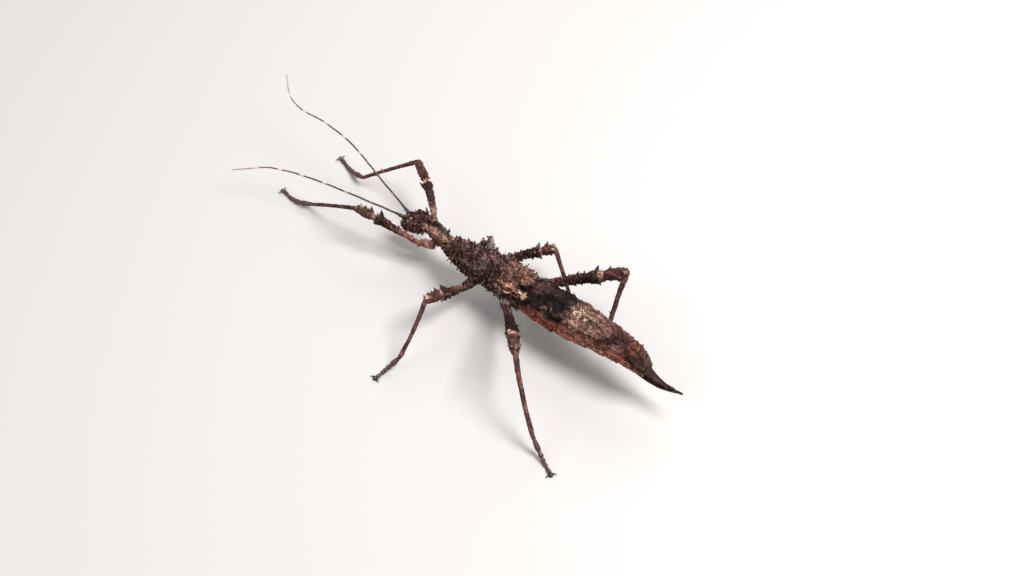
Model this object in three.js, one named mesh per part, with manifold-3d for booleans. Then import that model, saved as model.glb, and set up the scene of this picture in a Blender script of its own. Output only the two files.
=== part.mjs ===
// Thorny stick insect, an adult female at life size, standing on six feet.
// Millimetres, +Z up, head towards -Y, the insect's left side towards +X.
import * as THREE from 'three';
import Module from 'manifold-3d';

const wasm = await Module();
wasm.setup();

// ---- driving dimensions -------------------------------------------------

const SEAM = 0.15; // gap left between two neighbouring plates
const TRUNK_SIDES = 16; // corners of a cross-section of the trunk
const TRUNK_STEPS = { prothorax: 4, mesothorax: 8, metathorax: 7, tail: 12, whole: 40 };
const PLATE_SIDES = 10;
const COXA_SIDES = 10;
const SHANK_SIDES = 8;
const THIN_SIDES = 6; // feelers, palps and feet
const SPINE_SIDES = 4;
const SPINE_SUNK = 0.45; // how deep a spine's root goes below its place

// Cross-sections of the trunk: distance along the body, height of the middle,
// half width, and how far the back rises and the belly drops from the middle.
const TRUNK = [
  { y: -20.6, z: 10.6, half: 1.35, rise: 1.1, drop: 1.4 },
  { y: -17.8, z: 9.1, half: 1.45, rise: 1.1, drop: 1.7 },
  { y: -14.8, z: 8.6, half: 1.95, rise: 1.6, drop: 1.8 },
  { y: -9.0, z: 8.9, half: 3.6, rise: 2.8, drop: 3.0 },
  { y: -4.0, z: 9.5, half: 4.5, rise: 3.4, drop: 3.5 },
  { y: 1.0, z: 9.7, half: 4.6, rise: 3.5, drop: 3.7 },
  { y: 6.5, z: 10.2, half: 5.2, rise: 3.9, drop: 4.2 },
  { y: 11.5, z: 10.0, half: 4.7, rise: 3.8, drop: 4.0 },
  { y: 19.0, z: 10.2, half: 5.2, rise: 4.2, drop: 4.3 },
  { y: 26.0, z: 11.0, half: 5.0, rise: 4.1, drop: 4.2 },
  { y: 33.5, z: 11.7, half: 4.2, rise: 3.4, drop: 3.6 },
  { y: 41.0, z: 11.9, half: 3.3, rise: 2.9, drop: 3.1 },
  { y: 44.0, z: 11.2, half: 2.9, rise: 2.6, drop: 2.6 },
  { y: 47.2, z: 9.7, half: 2.1, rise: 1.8, drop: 1.7 },
];
const PROTHORAX = { front: -20.4, back: -15.0 };
const MESOTHORAX = { front: -14.8, back: -1.0 };
const METATHORAX = { front: -0.8, back: 11.5 };
const ABDOMEN_EDGES = [11.7, 16.8, 22.0, 27.2, 32.0, 36.4, 40.2, 43.6, 47.0];
const ABDOMEN_FIRST_SEGMENT = 2; // the first one is fused with the thorax
// Size of a segment of the abdomen along it: share of its length, size.
const ABDOMEN_SWELL = [[0, 0.95], [0.1, 0.985], [0.55, 1.0], [0.88, 1.045], [1, 0.99]];
const ABDOMEN_CREST = 0.16;
const TAIL = { front: 38, swell: 1.05 }; // the hind part that the egg layer fits round

const HEAD = {
  nape: [0, -20.2, 11.8],
  mouth: [0, -28.4, 6.5],
  half: 2.7,
  rise: 2.35,
  drop: 2.45,
};
const HEAD_OUTLINE = [[0, 0.55], [0.1, 0.82], [0.3, 0.98], [0.5, 1], [0.7, 0.92], [0.88, 0.68], [1, 0.4]];
const EYE = { radius: 0.74, along: 0.45, out: 2.0, up: 1.6 };
const MUZZLE = { half: 1.1, depth: 1.0, below: 0.75 };
const MUZZLE_OUTLINE = [[0.8, 0.8], [0.96, 1], [1.08, 0.85], [1.15, 0.5]]; // share of the head, size
const PALP = [[0.93, 0.9, -1.2], [0.98, 1.5, -2.3], [1.08, 1.3, -3.0]]; // share of the head, out, up
const PALP_RADII = [[0, 0.3], [0.5, 0.28], [0.9, 0.3], [1, 0.2]];

// The beak-like egg layer: a keeled lower plate and a short upper plate.
const LOWER_PLATE = [
  { y: 44.0, z: 8.4, half: 1.5, rise: 0.45, drop: 0.7 },
  { y: 47.4, z: 7.9, half: 1.35, rise: 0.5, drop: 0.75 },
  { y: 50.4, z: 7.7, half: 0.95, rise: 0.35, drop: 0.6 },
  { y: 53.2, z: 8.4, half: 0.6, rise: 0.32, drop: 0.5 },
  { y: 55.6, z: 9.4, half: 0.36, rise: 0.27, drop: 0.3 },
  { y: 56.6, z: 9.6, half: 0.26, rise: 0.25, drop: 0.25 },
];
const UPPER_PLATE = [
  { y: 47.2, z: 9.3, half: 1.35, rise: 1.1, drop: 0.85 },
  { y: 49.2, z: 8.9, half: 0.9, rise: 0.55, drop: 0.5 },
  { y: 51.6, z: 8.75, half: 0.6, rise: 0.35, drop: 0.35 },
  { y: 54.2, z: 9.4, half: 0.34, rise: 0.27, drop: 0.27 },
];

// Each leg: where the coxa leaves the trunk, the trochanter, the knee, the
// ankle and the foot's path along the ground. femurBow and tibiaBow say how
// far the middle of each lies from the straight line between its joints, and
// band where the pale waist of the femur is, as a share of its length.
const SOLE = 0; // height of the ground
const GROUND = { side: 12, depth: 2 }; // the block that flattens a foot underneath
const LEGS = {
  left_fore: {
    hip: [1.7, -16.9, 7.9], root: [3.7, -20.7, 7.5], knee: [7.1, -37.2, 10.8], ankle: [7.5, -52.3, 1.7],
    foot: [[8.6, -56.0, 0.7], [8.6, -58.8, 0.4], [8.0, -61.4, 0.38]],
    femurBow: [0, 0, 0.4], tibiaBow: [0, 0, 0.2], stout: 0.78, band: 0.71,
  },
  right_fore: {
    hip: [-1.6, -16.2, 8.6], root: [-3.0, -21.0, 8.8], knee: [-12.5, -35.0, 12.7], ankle: [-6.4, -48.3, 2.6],
    foot: [[-7.4, -52.6, 0.8], [-8.5, -55.8, 0.4], [-9.1, -57.9, 0.38]],
    femurBow: [-1.0, 0, 0], tibiaBow: [0, 0, 0.2], stout: 0.78, band: 0.66,
  },
  left_mid: {
    hip: [3.6, -2.7, 7.6], root: [6.9, -3.1, 7.3], knee: [18.4, -4.9, 12.0], ankle: [30.5, -2.8, 3.2],
    foot: [[32.7, -4.1, 1.1], [34.7, -4.6, 0.4], [36.2, -4.6, 0.38]],
    femurBow: [0, 0, 0], tibiaBow: [-0.35, 0.35, 0.1], stout: 0.9, band: 0.63,
  },
  right_mid: {
    hip: [-3.6, -2.3, 7.7], root: [-6.9, -0.6, 7.6], knee: [-14.2, 7.3, 10.7], ankle: [-7.5, 18.6, 3.5],
    foot: [[-8.4, 20.8, 1.2], [-9.3, 22.8, 0.4], [-10.0, 24.2, 0.38]],
    femurBow: [0, 0, 0], tibiaBow: [0, 0, 0.2], stout: 0.85, band: 0.7,
  },
  left_hind: {
    hip: [3.6, 7.2, 8.4], root: [6.1, 9.2, 9.1], knee: [20.7, 24.4, 18.9], ankle: [28.2, 36.2, 3.9],
    foot: [[28.9, 38.5, 1.7], [29.9, 41.1, 0.42], [31.2, 43.6, 0.38]],
    femurBow: [0, 0.3, 0], tibiaBow: [0.3, -0.35, 0], stout: 1.05, band: 0.66,
  },
  right_hind: {
    hip: [-3.6, 8.0, 8.4], root: [-5.9, 11.9, 8.9], knee: [-13.9, 29.1, 18.7], ankle: [-4.5, 30.7, 2.3],
    foot: [[-5.4, 33.3, 0.8], [-7.0, 35.8, 0.4], [-8.2, 37.7, 0.38]],
    femurBow: [0, 0, 0], tibiaBow: [0.35, -0.45, 0], stout: 1.05, band: 0.71,
  },
};

// Thickness along a leg's pieces: share of the length, radius.
const COXA_RADII = [[0, 1.3], [0.55, 1.2], [0.72, 0.9], [0.9, 1.0], [1, 0.8]];
const FEMUR_ROOT_RADII = [[0, 0.78], [0.15, 0.82]];
const FEMUR_BAND_RADII = [[-0.2, 1.08], [-0.06, 1.35], [0.025, 0.98], [0.12, 1.2]]; // share from the band
const FEMUR_KNEE_RADII = [[0.95, 1.15], [1, 0.92]];
const FEMUR_EDGE = 0.1; // how far its edges stand out from a round section
const TIBIA_RADII = [[0, 0.58], [0.08, 0.68], [0.3, 0.56], [0.65, 0.52], [0.92, 0.56], [1, 0.5]];
const TIBIA_EDGE = 0.06;
// Teeth of a femur: place from the band, lean from the upper edge in degrees, height.
const FEMUR_TEETH = [
  [-0.4, 40, 0.45], [-0.28, -38, 0.5], [-0.1, 42, 1.2], [-0.07, -42, 1.15], [0.07, 40, 1.0], [0.11, -42, 0.9],
  [0.24, 45, 0.5], [0.25, -45, 0.5], [-0.05, 140, 0.6], [-0.03, -140, 0.55], [0.18, 138, 0.5],
];
const FEMUR_TOOTH = { root: 0.8, sweep: 0.45, radius: 0.6 };

// A foot: five joints and two claws. Places are measured from the toe.
const FOOT = { radius: 0.42, joints: 5, swell: 1.15, waist: 0.82, waistAt: 0.05 };
const CLAW = { radius: 0.26, tip: 0.15 };
const CLAW_PATH = [ // ahead, aside, height
  { ahead: -0.25, aside: 0, height: 0.42 }, { ahead: 0.4, aside: 0.6, height: 0.62 },
  { ahead: 0.9, aside: 1.0, height: 0.24 },
];

// Both feelers leave the top of the snout; the points run out to the tips.
const FEELERS = {
  left: [[0.9, -27.4, 9.5], [1.5, -29.1, 10.0], [3.2, -36.3, 10.4], [5.1, -44.4, 10.7], [7.5, -54.4, 10.6],
    [10.7, -63.3, 10.0], [13.6, -67.3, 9.2], [16.2, -71.0, 8.2]],
  right: [[-0.9, -27.4, 9.5], [-1.3, -30.7, 10.6], [-2.8, -38.4, 12.4], [-5.4, -50.6, 14.6],
    [-5.5, -60.6, 15.8], [-4.7, -65.1, 16.3], [-5.2, -70.3, 17.0], [-9.6, -75.7, 19.2]],
};
const FEELER = { radius: 0.27, steps: 25 };
const SCAPE = { length: 2.1, radius: 0.48, taper: 0.8 };

// The tall compound thorn: direction, share of the reach, radius of each prong.
const THORN_CROWN = {
  at: [3.3, -4.6, 11.4],
  reach: 3.5,
  prongs: [
    [[0.56, -0.22, 0.8], 1, 1.5], [[0.6, 0.5, 0.65], 0.72, 1.1], [[0.15, -0.75, 0.7], 0.62, 0.9],
    [[0.95, -0.3, 0.2], 0.45, 0.8],
  ],
};
// Spines of the trunk and head: root, direction, length, radius of the root.
const SPINES = {
  prothorax: [
    [[1.2, -19.2, 10.0], [0.9, -0.5, 0.3], 0.9, 0.4], [[1.4, -15.7, 9.7], [0.7, 0.1, 0.8], 1.5, 0.45],
  ],
  mesothorax: [
    [[2.1, -13.2, 9.4], [0.9, -0.1, 0.5], 0.8, 0.4], [[2.8, -10.6, 9.6], [0.9, 0.1, 0.4], 0.8, 0.4],
    [[3.4, -8.6, 9.2], [1, 0.1, 0.1], 0.8, 0.4], [[1.3, -11.4, 10.7], [0.4, -0.1, 0.9], 0.9, 0.4],
    [[1.7, -8.4, 11.3], [0.5, 0.1, 0.9], 1.1, 0.45], [[3.9, -6.2, 8.9], [1, 0, -0.1], 0.9, 0.45],
    [[1.4, -2.2, 12.6], [0.4, 0.2, 0.9], 1.1, 0.5],
  ],
  metathorax: [
    [[4.4, 1.0, 10.3], [1, 0, 0.2], 1.0, 0.5], [[4.6, 3.4, 10.8], [0.9, 0.2, 0.3], 0.9, 0.45],
    [[4.7, 6.2, 11.6], [0.8, 0.3, 0.5], 1.0, 0.45], [[4.5, 9.2, 11.4], [0.8, 0.4, 0.4], 0.9, 0.45],
    [[1.5, 2.4, 12.9], [0.4, 0.1, 0.9], 1.0, 0.45], [[1.7, 6.0, 13.7], [0.4, 0.2, 0.9], 1.1, 0.5],
  ],
};
const HEAD_SPINES = [ // share of the head's length from the nape, out, up, length
  [0.1, 1.2, 1.4, 1.2], [0.22, 2.0, 1.1, 1.0], [0.38, 1.0, 1.9, 0.9], [0.16, 2.1, -0.3, 1.0],
  [0.78, 0.7, 1.5, 0.8],
];
const HEAD_SPINE = { radius: 0.42, sweep: 0.12 };

// ---- finish of each kind of part ------------------------------------------

const MATT = 0.8;
const HORNY = 0.45;
const GLASSY = 0.25;
function finish(color, roughness = MATT) {
  return new THREE.MeshStandardMaterial({ color, roughness, metalness: 0 });
}

const FINISHES = {
  head: () => finish(0x2c1f1c),
  eye: () => finish(0x6b5a45, GLASSY),
  thorax: () => finish(0x3f2f28),
  abdomen: () => finish(0x4a372b),
  plate: () => finish(0x2a1a17, HORNY),
  coxa: () => finish(0x23242c, HORNY),
  femur: () => finish(0x33241f),
  tibia: () => finish(0x4b352c),
  tarsus: () => finish(0x35251f),
  feeler: () => finish(0x4a3128, HORNY),
};

// ---- making closed solids ---------------------------------------------------

const vector = (a) => new THREE.Vector3(a[0], a[1], a[2]);
const lerp = THREE.MathUtils.lerp;

// A closed skin over a row of rings, which all have the same number of points.
function skinOver(rings) {
  const sides = rings[0].length;
  const positions = [];
  const index = [];
  for (const ring of rings) {
    for (const p of ring) positions.push(p.x, p.y, p.z);
  }
  for (let r = 0; r + 1 < rings.length; r += 1) {
    for (let k = 0; k < sides; k += 1) {
      const a = r * sides + k;
      const b = r * sides + ((k + 1) % sides);
      index.push(a, b, b + sides, a, b + sides, a + sides);
    }
  }
  for (const [r, turn] of [[0, true], [rings.length - 1, false]]) {
    const middle = rings[r].reduce((sum, p) => sum.add(p), new THREE.Vector3()).divideScalar(sides);
    const centre = positions.length / 3;
    positions.push(middle.x, middle.y, middle.z);
    for (let k = 0; k < sides; k += 1) {
      const a = r * sides + k;
      const b = r * sides + ((k + 1) % sides);
      if (turn) index.push(centre, b, a);
      else index.push(centre, a, b);
    }
  }
  const geometry = new THREE.BufferGeometry();
  geometry.setAttribute('position', new THREE.Float32BufferAttribute(positions, 3));
  geometry.setIndex(index);
  return geometry;
}

function toSolid(geometry) {
  const mesh = new wasm.Mesh({
    numProp: 3,
    vertProperties: new Float32Array(geometry.attributes.position.array),
    triVerts: new Uint32Array(geometry.index.array),
  });
  const solid = new wasm.Manifold(mesh);
  if (solid.volume() > 0) return solid;
  const triVerts = new Uint32Array(geometry.index.array).reverse();
  return new wasm.Manifold(new wasm.Mesh({ numProp: 3, vertProperties: mesh.vertProperties, triVerts }));
}

function toGeometry(solid) {
  const mesh = solid.getMesh();
  const geometry = new THREE.BufferGeometry();
  geometry.setAttribute('position', new THREE.Float32BufferAttribute(mesh.vertProperties, 3));
  geometry.setIndex(Array.from(mesh.triVerts));
  geometry.computeVertexNormals();
  return geometry;
}

// A three.js primitive as a solid, with the vertices of its faces joined.
function primitiveSolid(geometry) {
  const index = [];
  const positions = [];
  const seen = new Map();
  const source = geometry.attributes.position;
  const remap = [];
  for (let i = 0; i < source.count; i += 1) {
    const p = [source.getX(i), source.getY(i), source.getZ(i)];
    const key = p.map((value) => Math.round(value * 1e4)).join();
    if (!seen.has(key)) {
      seen.set(key, positions.length / 3);
      positions.push(...p);
    }
    remap.push(seen.get(key));
  }
  for (let i = 0; i < geometry.index.count; i += 3) {
    const [a, b, c] = [0, 1, 2].map((k) => remap[geometry.index.getX(i + k)]);
    if (a !== b && b !== c && c !== a) index.push(a, b, c);
  }
  const joined = new THREE.BufferGeometry();
  joined.setAttribute('position', new THREE.Float32BufferAttribute(positions, 3));
  joined.setIndex(index);
  return toSolid(joined);
}

const union = (solids) => solids.reduce((all, one) => all.add(one));

// ---- shapes -----------------------------------------------------------------

// A station of the trunk at any distance along it, by straight steps between
// the listed ones.
function stationAt(table, y) {
  let i = 0;
  while (i + 2 < table.length && table[i + 1].y < y) i += 1;
  const [a, b] = [table[i], table[i + 1]];
  const t = THREE.MathUtils.clamp((y - a.y) / (b.y - a.y), 0, 1);
  const mix = (key) => lerp(a[key], b[key], t);
  return { y, z: mix('z'), half: mix('half'), rise: mix('rise'), drop: mix('drop') };
}

// One upright ring of the trunk. crest lifts the two upper side edges and the
// ridge of the back.
function trunkRing(station, sides, { scale = 1, grow = 0, crest = 0 } = {}) {
  const ring = [];
  for (let k = 0; k < sides; k += 1) {
    const angle = (2 * Math.PI * k) / sides;
    const [c, s] = [Math.cos(angle), Math.sin(angle)];
    const degrees = (360 * k) / sides;
    const onEdge = [45, 90, 135].includes(degrees);
    const lift = onEdge ? crest : 0;
    const tall = s > 0 ? station.rise : station.drop;
    ring.push(new THREE.Vector3(
      (station.half * scale + grow + lift) * c,
      station.y,
      station.z + (tall * scale + grow + lift) * s,
    ));
  }
  return ring;
}

function trunkPiece(span, steps, options = {}) {
  const rings = [];
  for (let i = 0; i <= steps; i += 1) {
    const y = lerp(span.front, span.back, i / steps);
    rings.push(trunkRing(stationAt(TRUNK, y), TRUNK_SIDES, options));
  }
  return toSolid(skinOver(rings));
}

// One ring of the abdomen widens backwards to a raised rim over the next.
function abdomenSegment(front, back) {
  const rings = ABDOMEN_SWELL.map(([share, scale]) => {
    const y = lerp(front, back, share);
    return trunkRing(stationAt(TRUNK, y), TRUNK_SIDES, { scale, crest: ABDOMEN_CREST });
  });
  return toSolid(skinOver(rings));
}

function spine(root, direction, length, radius) {
  const geometry = new THREE.ConeGeometry(radius, length + SPINE_SUNK, SPINE_SIDES);
  geometry.translate(0, (length + SPINE_SUNK) / 2 - SPINE_SUNK, 0);
  const tall = new THREE.Vector3(0, 1, 0);
  const turn = new THREE.Quaternion().setFromUnitVectors(tall, vector(direction).normalize());
  geometry.applyQuaternion(turn);
  geometry.translate(root[0], root[1], root[2]);
  return primitiveSolid(geometry);
}

const mirrored = ([x, y, z]) => [-x, y, z];

function spinePairs(list) {
  const spines = [];
  for (const [root, direction, length, radius] of list) {
    spines.push(spine(root, direction, length, radius));
    spines.push(spine(mirrored(root), mirrored(direction), length, radius));
  }
  return spines;
}

// The tall compound thorn of one side: a blade with shorter prongs about it.
function thornCrown(side) {
  const { at: [x, y, z], reach, prongs } = THORN_CROWN;
  const root = [side * x, y, z];
  return prongs.map(([[dx, dy, dz], share, radius]) => (
    spine(root, [side * dx, dy, dz], reach * share, radius)
  ));
}

// A ring about a point of a limb, with `up` the limb's upper edge.
function limbRing(centre, up, across, radius, sides, edge) {
  const ring = [];
  for (let k = 0; k < sides; k += 1) {
    const angle = (2 * Math.PI * k) / sides;
    const corner = k % 2 === 1 ? 1 + edge : 1 - edge;
    const p = centre.clone();
    p.addScaledVector(up, radius * corner * Math.cos(angle));
    p.addScaledVector(across, radius * corner * Math.sin(angle));
    ring.push(p);
  }
  return ring;
}

function frameOf(along) {
  const up = new THREE.Vector3(0, 0, 1);
  if (Math.abs(along.z) > 0.97) up.set(0, 1, 0);
  up.addScaledVector(along, -up.dot(along)).normalize();
  return { up, across: new THREE.Vector3().crossVectors(along, up) };
}

// A limb along a curve. radii is a list of [share of the length, radius].
function limb(curve, radii, sides, { edge = 0, grow = 0 } = {}) {
  const rings = radii.map(([share, radius]) => {
    const centre = curve.getPointAt(share);
    const { up, across } = frameOf(curve.getTangentAt(share));
    return limbRing(centre, up, across, radius + grow, sides, edge);
  });
  return toSolid(skinOver(rings));
}

function bowedLine(from, to, bow) {
  const [a, b] = [vector(from), vector(to)];
  const control = a.clone().lerp(b, 0.5).addScaledVector(vector(bow), 2);
  return new THREE.QuadraticBezierCurve3(a, control, b);
}

// ---- the head -----------------------------------------------------------------

const headAxis = vector(HEAD.mouth).sub(vector(HEAD.nape));
const headLength = headAxis.length();
headAxis.normalize();
const headUp = frameOf(headAxis).up;
const headPoint = (share, out, up) => vector(HEAD.nape)
  .addScaledVector(headAxis, share * headLength)
  .addScaledVector(headUp, up)
  .add(new THREE.Vector3(out, 0, 0));

function headShell(grow = 0) {
  const rings = HEAD_OUTLINE.map(([share, size]) => {
    const ring = [];
    for (let k = 0; k < TRUNK_SIDES; k += 1) {
      const angle = (2 * Math.PI * k) / TRUNK_SIDES;
      const tall = Math.sin(angle) > 0 ? HEAD.rise : HEAD.drop;
      const out = (HEAD.half * size + grow) * Math.cos(angle);
      ring.push(headPoint(share, out, (tall * size + grow) * Math.sin(angle)));
    }
    return ring;
  });
  return toSolid(skinOver(rings));
}

function headSolid() {
  const spines = [];
  for (const [share, out, up, length] of HEAD_SPINES) {
    for (const side of [1, -1]) {
      const root = headPoint(share, side * out, up);
      const direction = root.clone().sub(headPoint(share + HEAD_SPINE.sweep, 0, 0)).toArray();
      spines.push(spine(root.toArray(), direction, length, HEAD_SPINE.radius));
    }
  }
  return union([headShell(), ...spines]);
}

function eyeSolid(side) {
  const ball = new THREE.SphereGeometry(EYE.radius, 9, 7);
  const place = headPoint(EYE.along, side * EYE.out, EYE.up);
  ball.translate(place.x, place.y, place.z);
  return primitiveSolid(ball).subtract(headSolid()).subtract(headShell(SEAM / 2));
}

// Upper lip and jaws in one block, with a feeler-like palp at each side.
function mouthSolid() {
  const rings = MUZZLE_OUTLINE.map(([share, size]) => {
    const ring = [];
    for (let k = 0; k < PLATE_SIDES; k += 1) {
      const angle = (2 * Math.PI * k) / PLATE_SIDES;
      const out = MUZZLE.half * size * Math.cos(angle);
      ring.push(headPoint(share, out, -MUZZLE.below + MUZZLE.depth * size * Math.sin(angle)));
    }
    return ring;
  });
  const palps = [1, -1].map((side) => {
    const path = PALP.map(([share, out, up]) => headPoint(share, side * out, up));
    return limb(new THREE.CatmullRomCurve3(path), PALP_RADII, THIN_SIDES);
  });
  return union([toSolid(skinOver(rings)), ...palps]).subtract(headShell(SEAM));
}

function feelerSolid(side) {
  const curve = new THREE.CatmullRomCurve3(FEELERS[side].map(vector));
  const length = curve.getLength();
  const scapeEnd = SCAPE.length / length;
  const radii = [[0, SCAPE.radius], [scapeEnd * SCAPE.taper, SCAPE.radius], [scapeEnd, FEELER.radius]];
  for (let i = 1; i <= FEELER.steps; i += 1) {
    radii.push([lerp(scapeEnd, 1, i / FEELER.steps), FEELER.radius]);
  }
  return limb(curve, radii, THIN_SIDES).subtract(headShell(SEAM));
}

// ---- the legs -------------------------------------------------------------------

const tailEnd = ABDOMEN_EDGES[ABDOMEN_EDGES.length - 1];
const wholeTrunk = { front: TRUNK[0].y, back: tailEnd };
const trunkGrown = trunkPiece(wholeTrunk, TRUNK_STEPS.whole, { grow: SEAM });

function coxaShape(leg, grow = 0) {
  const curve = new THREE.LineCurve3(vector(leg.hip), vector(leg.root));
  const radii = COXA_RADII.map(([share, radius]) => [share, radius * leg.stout]);
  return limb(curve, radii, COXA_SIDES, { grow });
}

function femurShape(leg, grow = 0) {
  const curve = bowedLine(leg.root, leg.knee, leg.femurBow);
  const aboutBand = FEMUR_BAND_RADII.map(([share, radius]) => [leg.band + share, radius]);
  const radii = [...FEMUR_ROOT_RADII, ...aboutBand, ...FEMUR_KNEE_RADII]
    .map(([share, radius]) => [share, radius * leg.stout]);
  return limb(curve, radii, SHANK_SIDES, { edge: FEMUR_EDGE, grow });
}

function femurTeeth(leg) {
  const curve = bowedLine(leg.root, leg.knee, leg.femurBow);
  return FEMUR_TEETH.map(([fromBand, lean, height]) => {
    const share = leg.band + fromBand;
    const along = curve.getTangentAt(share);
    const { up, across } = frameOf(along);
    const angle = THREE.MathUtils.degToRad(lean);
    const out = up.multiplyScalar(Math.cos(angle)).addScaledVector(across, Math.sin(angle));
    const root = curve.getPointAt(share).addScaledVector(out, FEMUR_TOOTH.root * leg.stout);
    const direction = out.clone().addScaledVector(along, FEMUR_TOOTH.sweep).toArray();
    return spine(root.toArray(), direction, height * leg.stout, FEMUR_TOOTH.radius * leg.stout);
  });
}

function tibiaShape(leg, grow = 0) {
  const radii = TIBIA_RADII.map(([share, radius]) => [share, radius * leg.stout]);
  return limb(bowedLine(leg.knee, leg.ankle, leg.tibiaBow), radii, SHANK_SIDES, { edge: TIBIA_EDGE, grow });
}

// Five short segments, a pad that is flat underneath, and two curved claws.
function tarsusSolid(leg) {
  const path = [leg.ankle, ...leg.foot];
  const curve = new THREE.CatmullRomCurve3(path.map(vector));
  const radii = [[0, FOOT.radius]];
  for (let i = 1; i <= FOOT.joints; i += 1) {
    const end = i / FOOT.joints;
    radii.push([end - FOOT.waistAt, FOOT.radius * FOOT.swell]);
    radii.push([end, FOOT.radius * FOOT.waist]);
  }
  const toe = vector(path[path.length - 1]);
  const ahead = curve.getTangentAt(1).setZ(0).normalize();
  const aside = new THREE.Vector3(-ahead.y, ahead.x, 0);
  const pieces = [limb(curve, radii, THIN_SIDES)];
  for (const side of [1, -1]) {
    const points = CLAW_PATH.map((at) => toe.clone()
      .addScaledVector(ahead, at.ahead)
      .addScaledVector(aside, side * at.aside)
      .setZ(at.height));
    const claw = new THREE.QuadraticBezierCurve3(...points);
    pieces.push(limb(claw, [[0, CLAW.radius], [0.5, CLAW.radius], [1, CLAW.tip]], SPINE_SIDES));
  }
  const ground = new THREE.BoxGeometry(GROUND.side, GROUND.side, GROUND.depth);
  ground.translate(toe.x, toe.y, SOLE - GROUND.depth / 2);
  return union(pieces).subtract(primitiveSolid(ground));
}

// ---- the whole insect --------------------------------------------------------------

const insect = new THREE.Group();

function addPart(name, solid, material) {
  const mesh = new THREE.Mesh(toGeometry(solid), material);
  mesh.name = name;
  insect.add(mesh);
}

addPart('head', headSolid(), FINISHES.head());
addPart('left_eye', eyeSolid(1), FINISHES.eye());
addPart('right_eye', eyeSolid(-1), FINISHES.eye());
addPart('mouthparts', mouthSolid(), FINISHES.head());
for (const side of ['left', 'right']) addPart(`${side}_antenna`, feelerSolid(side), FINISHES.feeler());

const headGrown = headShell(SEAM);
addPart('prothorax', union([
  trunkPiece(PROTHORAX, TRUNK_STEPS.prothorax), ...spinePairs(SPINES.prothorax),
]).subtract(headGrown), FINISHES.thorax());
addPart('mesothorax', union([
  trunkPiece(MESOTHORAX, TRUNK_STEPS.mesothorax), ...spinePairs(SPINES.mesothorax),
  ...thornCrown(1), ...thornCrown(-1),
]), FINISHES.thorax());
addPart('metathorax', union([
  trunkPiece(METATHORAX, TRUNK_STEPS.metathorax), ...spinePairs(SPINES.metathorax),
]), FINISHES.thorax());
for (let i = 0; i + 1 < ABDOMEN_EDGES.length; i += 1) {
  const front = ABDOMEN_EDGES[i] + SEAM / 2;
  const back = ABDOMEN_EDGES[i + 1] - SEAM / 2;
  addPart(`abdomen_${i + ABDOMEN_FIRST_SEGMENT}`, abdomenSegment(front, back), FINISHES.abdomen());
}

const plateOf = (table, grow = 0) => toSolid(skinOver(table.map((s) => trunkRing(s, PLATE_SIDES, { grow }))));
const tailSpan = { front: TAIL.front, back: tailEnd + SEAM / 2 };
const tail = trunkPiece(tailSpan, TRUNK_STEPS.tail, { scale: TAIL.swell, grow: SEAM });
addPart('egg_layer_upper', plateOf(UPPER_PLATE).subtract(tail), FINISHES.plate());
addPart('egg_layer_lower', plateOf(LOWER_PLATE)
  .subtract(tail)
  .subtract(plateOf(UPPER_PLATE, SEAM)), FINISHES.plate());

for (const [name, leg] of Object.entries(LEGS)) {
  const trunkAndHead = trunkGrown.add(headShell(SEAM));
  addPart(`${name}_coxa`, coxaShape(leg).subtract(trunkAndHead), FINISHES.coxa());
  const femur = union([femurShape(leg), ...femurTeeth(leg)]);
  addPart(`${name}_femur`, femur.subtract(coxaShape(leg, SEAM)), FINISHES.femur());
  addPart(`${name}_tibia`, tibiaShape(leg).subtract(femurShape(leg, SEAM)), FINISHES.tibia());
  addPart(`${name}_tarsus`, tarsusSolid(leg).subtract(tibiaShape(leg, SEAM)), FINISHES.tarsus());
}

// The origin is under the middle of the whole insect, on the ground.
const bounds = new THREE.Box3().setFromObject(insect);
insect.position.set(-(bounds.min.x + bounds.max.x) / 2, -(bounds.min.y + bounds.max.y) / 2, 0);

export default insect;
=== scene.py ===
# %% [markdown]
# # A thorny stick insect
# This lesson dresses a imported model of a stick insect, a grown female that looks like crusted bark. The
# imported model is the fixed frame: it says where the trunk, the legs, the feet and the antennae are. Over
# it come one skin, a crust of warts, prickles and compound thorns, the eyes, the mouth, the antennae, the
# egg layer and the feet. Everything is in metres, and the head points towards -Y.

# %% Open the frame
import math

import bpy
import numpy as np
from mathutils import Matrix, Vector, kdtree, noise


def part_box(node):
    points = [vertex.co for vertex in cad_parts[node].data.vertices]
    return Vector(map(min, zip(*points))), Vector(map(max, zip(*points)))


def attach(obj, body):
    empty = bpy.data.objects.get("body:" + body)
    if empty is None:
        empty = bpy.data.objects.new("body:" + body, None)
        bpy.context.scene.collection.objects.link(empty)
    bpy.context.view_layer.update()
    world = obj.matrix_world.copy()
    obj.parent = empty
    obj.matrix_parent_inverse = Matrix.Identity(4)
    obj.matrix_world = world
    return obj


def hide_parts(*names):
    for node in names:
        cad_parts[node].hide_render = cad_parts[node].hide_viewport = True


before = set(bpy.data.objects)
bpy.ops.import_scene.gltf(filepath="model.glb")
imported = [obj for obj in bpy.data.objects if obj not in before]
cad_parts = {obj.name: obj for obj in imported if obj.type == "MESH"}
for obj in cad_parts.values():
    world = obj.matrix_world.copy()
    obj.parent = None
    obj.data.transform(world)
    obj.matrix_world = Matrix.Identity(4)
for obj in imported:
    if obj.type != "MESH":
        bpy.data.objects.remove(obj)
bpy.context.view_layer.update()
print("nodes in the frame:", len(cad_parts))

# %% [markdown]
# ## Measures
# An insect is small, so its sizes are told in millimetres and turned into metres at the last moment. The
# body has a zero of its own: the middle line of the trunk, on the floor. It is found from the mesothorax,
# the thorax's long middle plate, which is alike on both sides and starts at a known place along the body.

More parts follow.
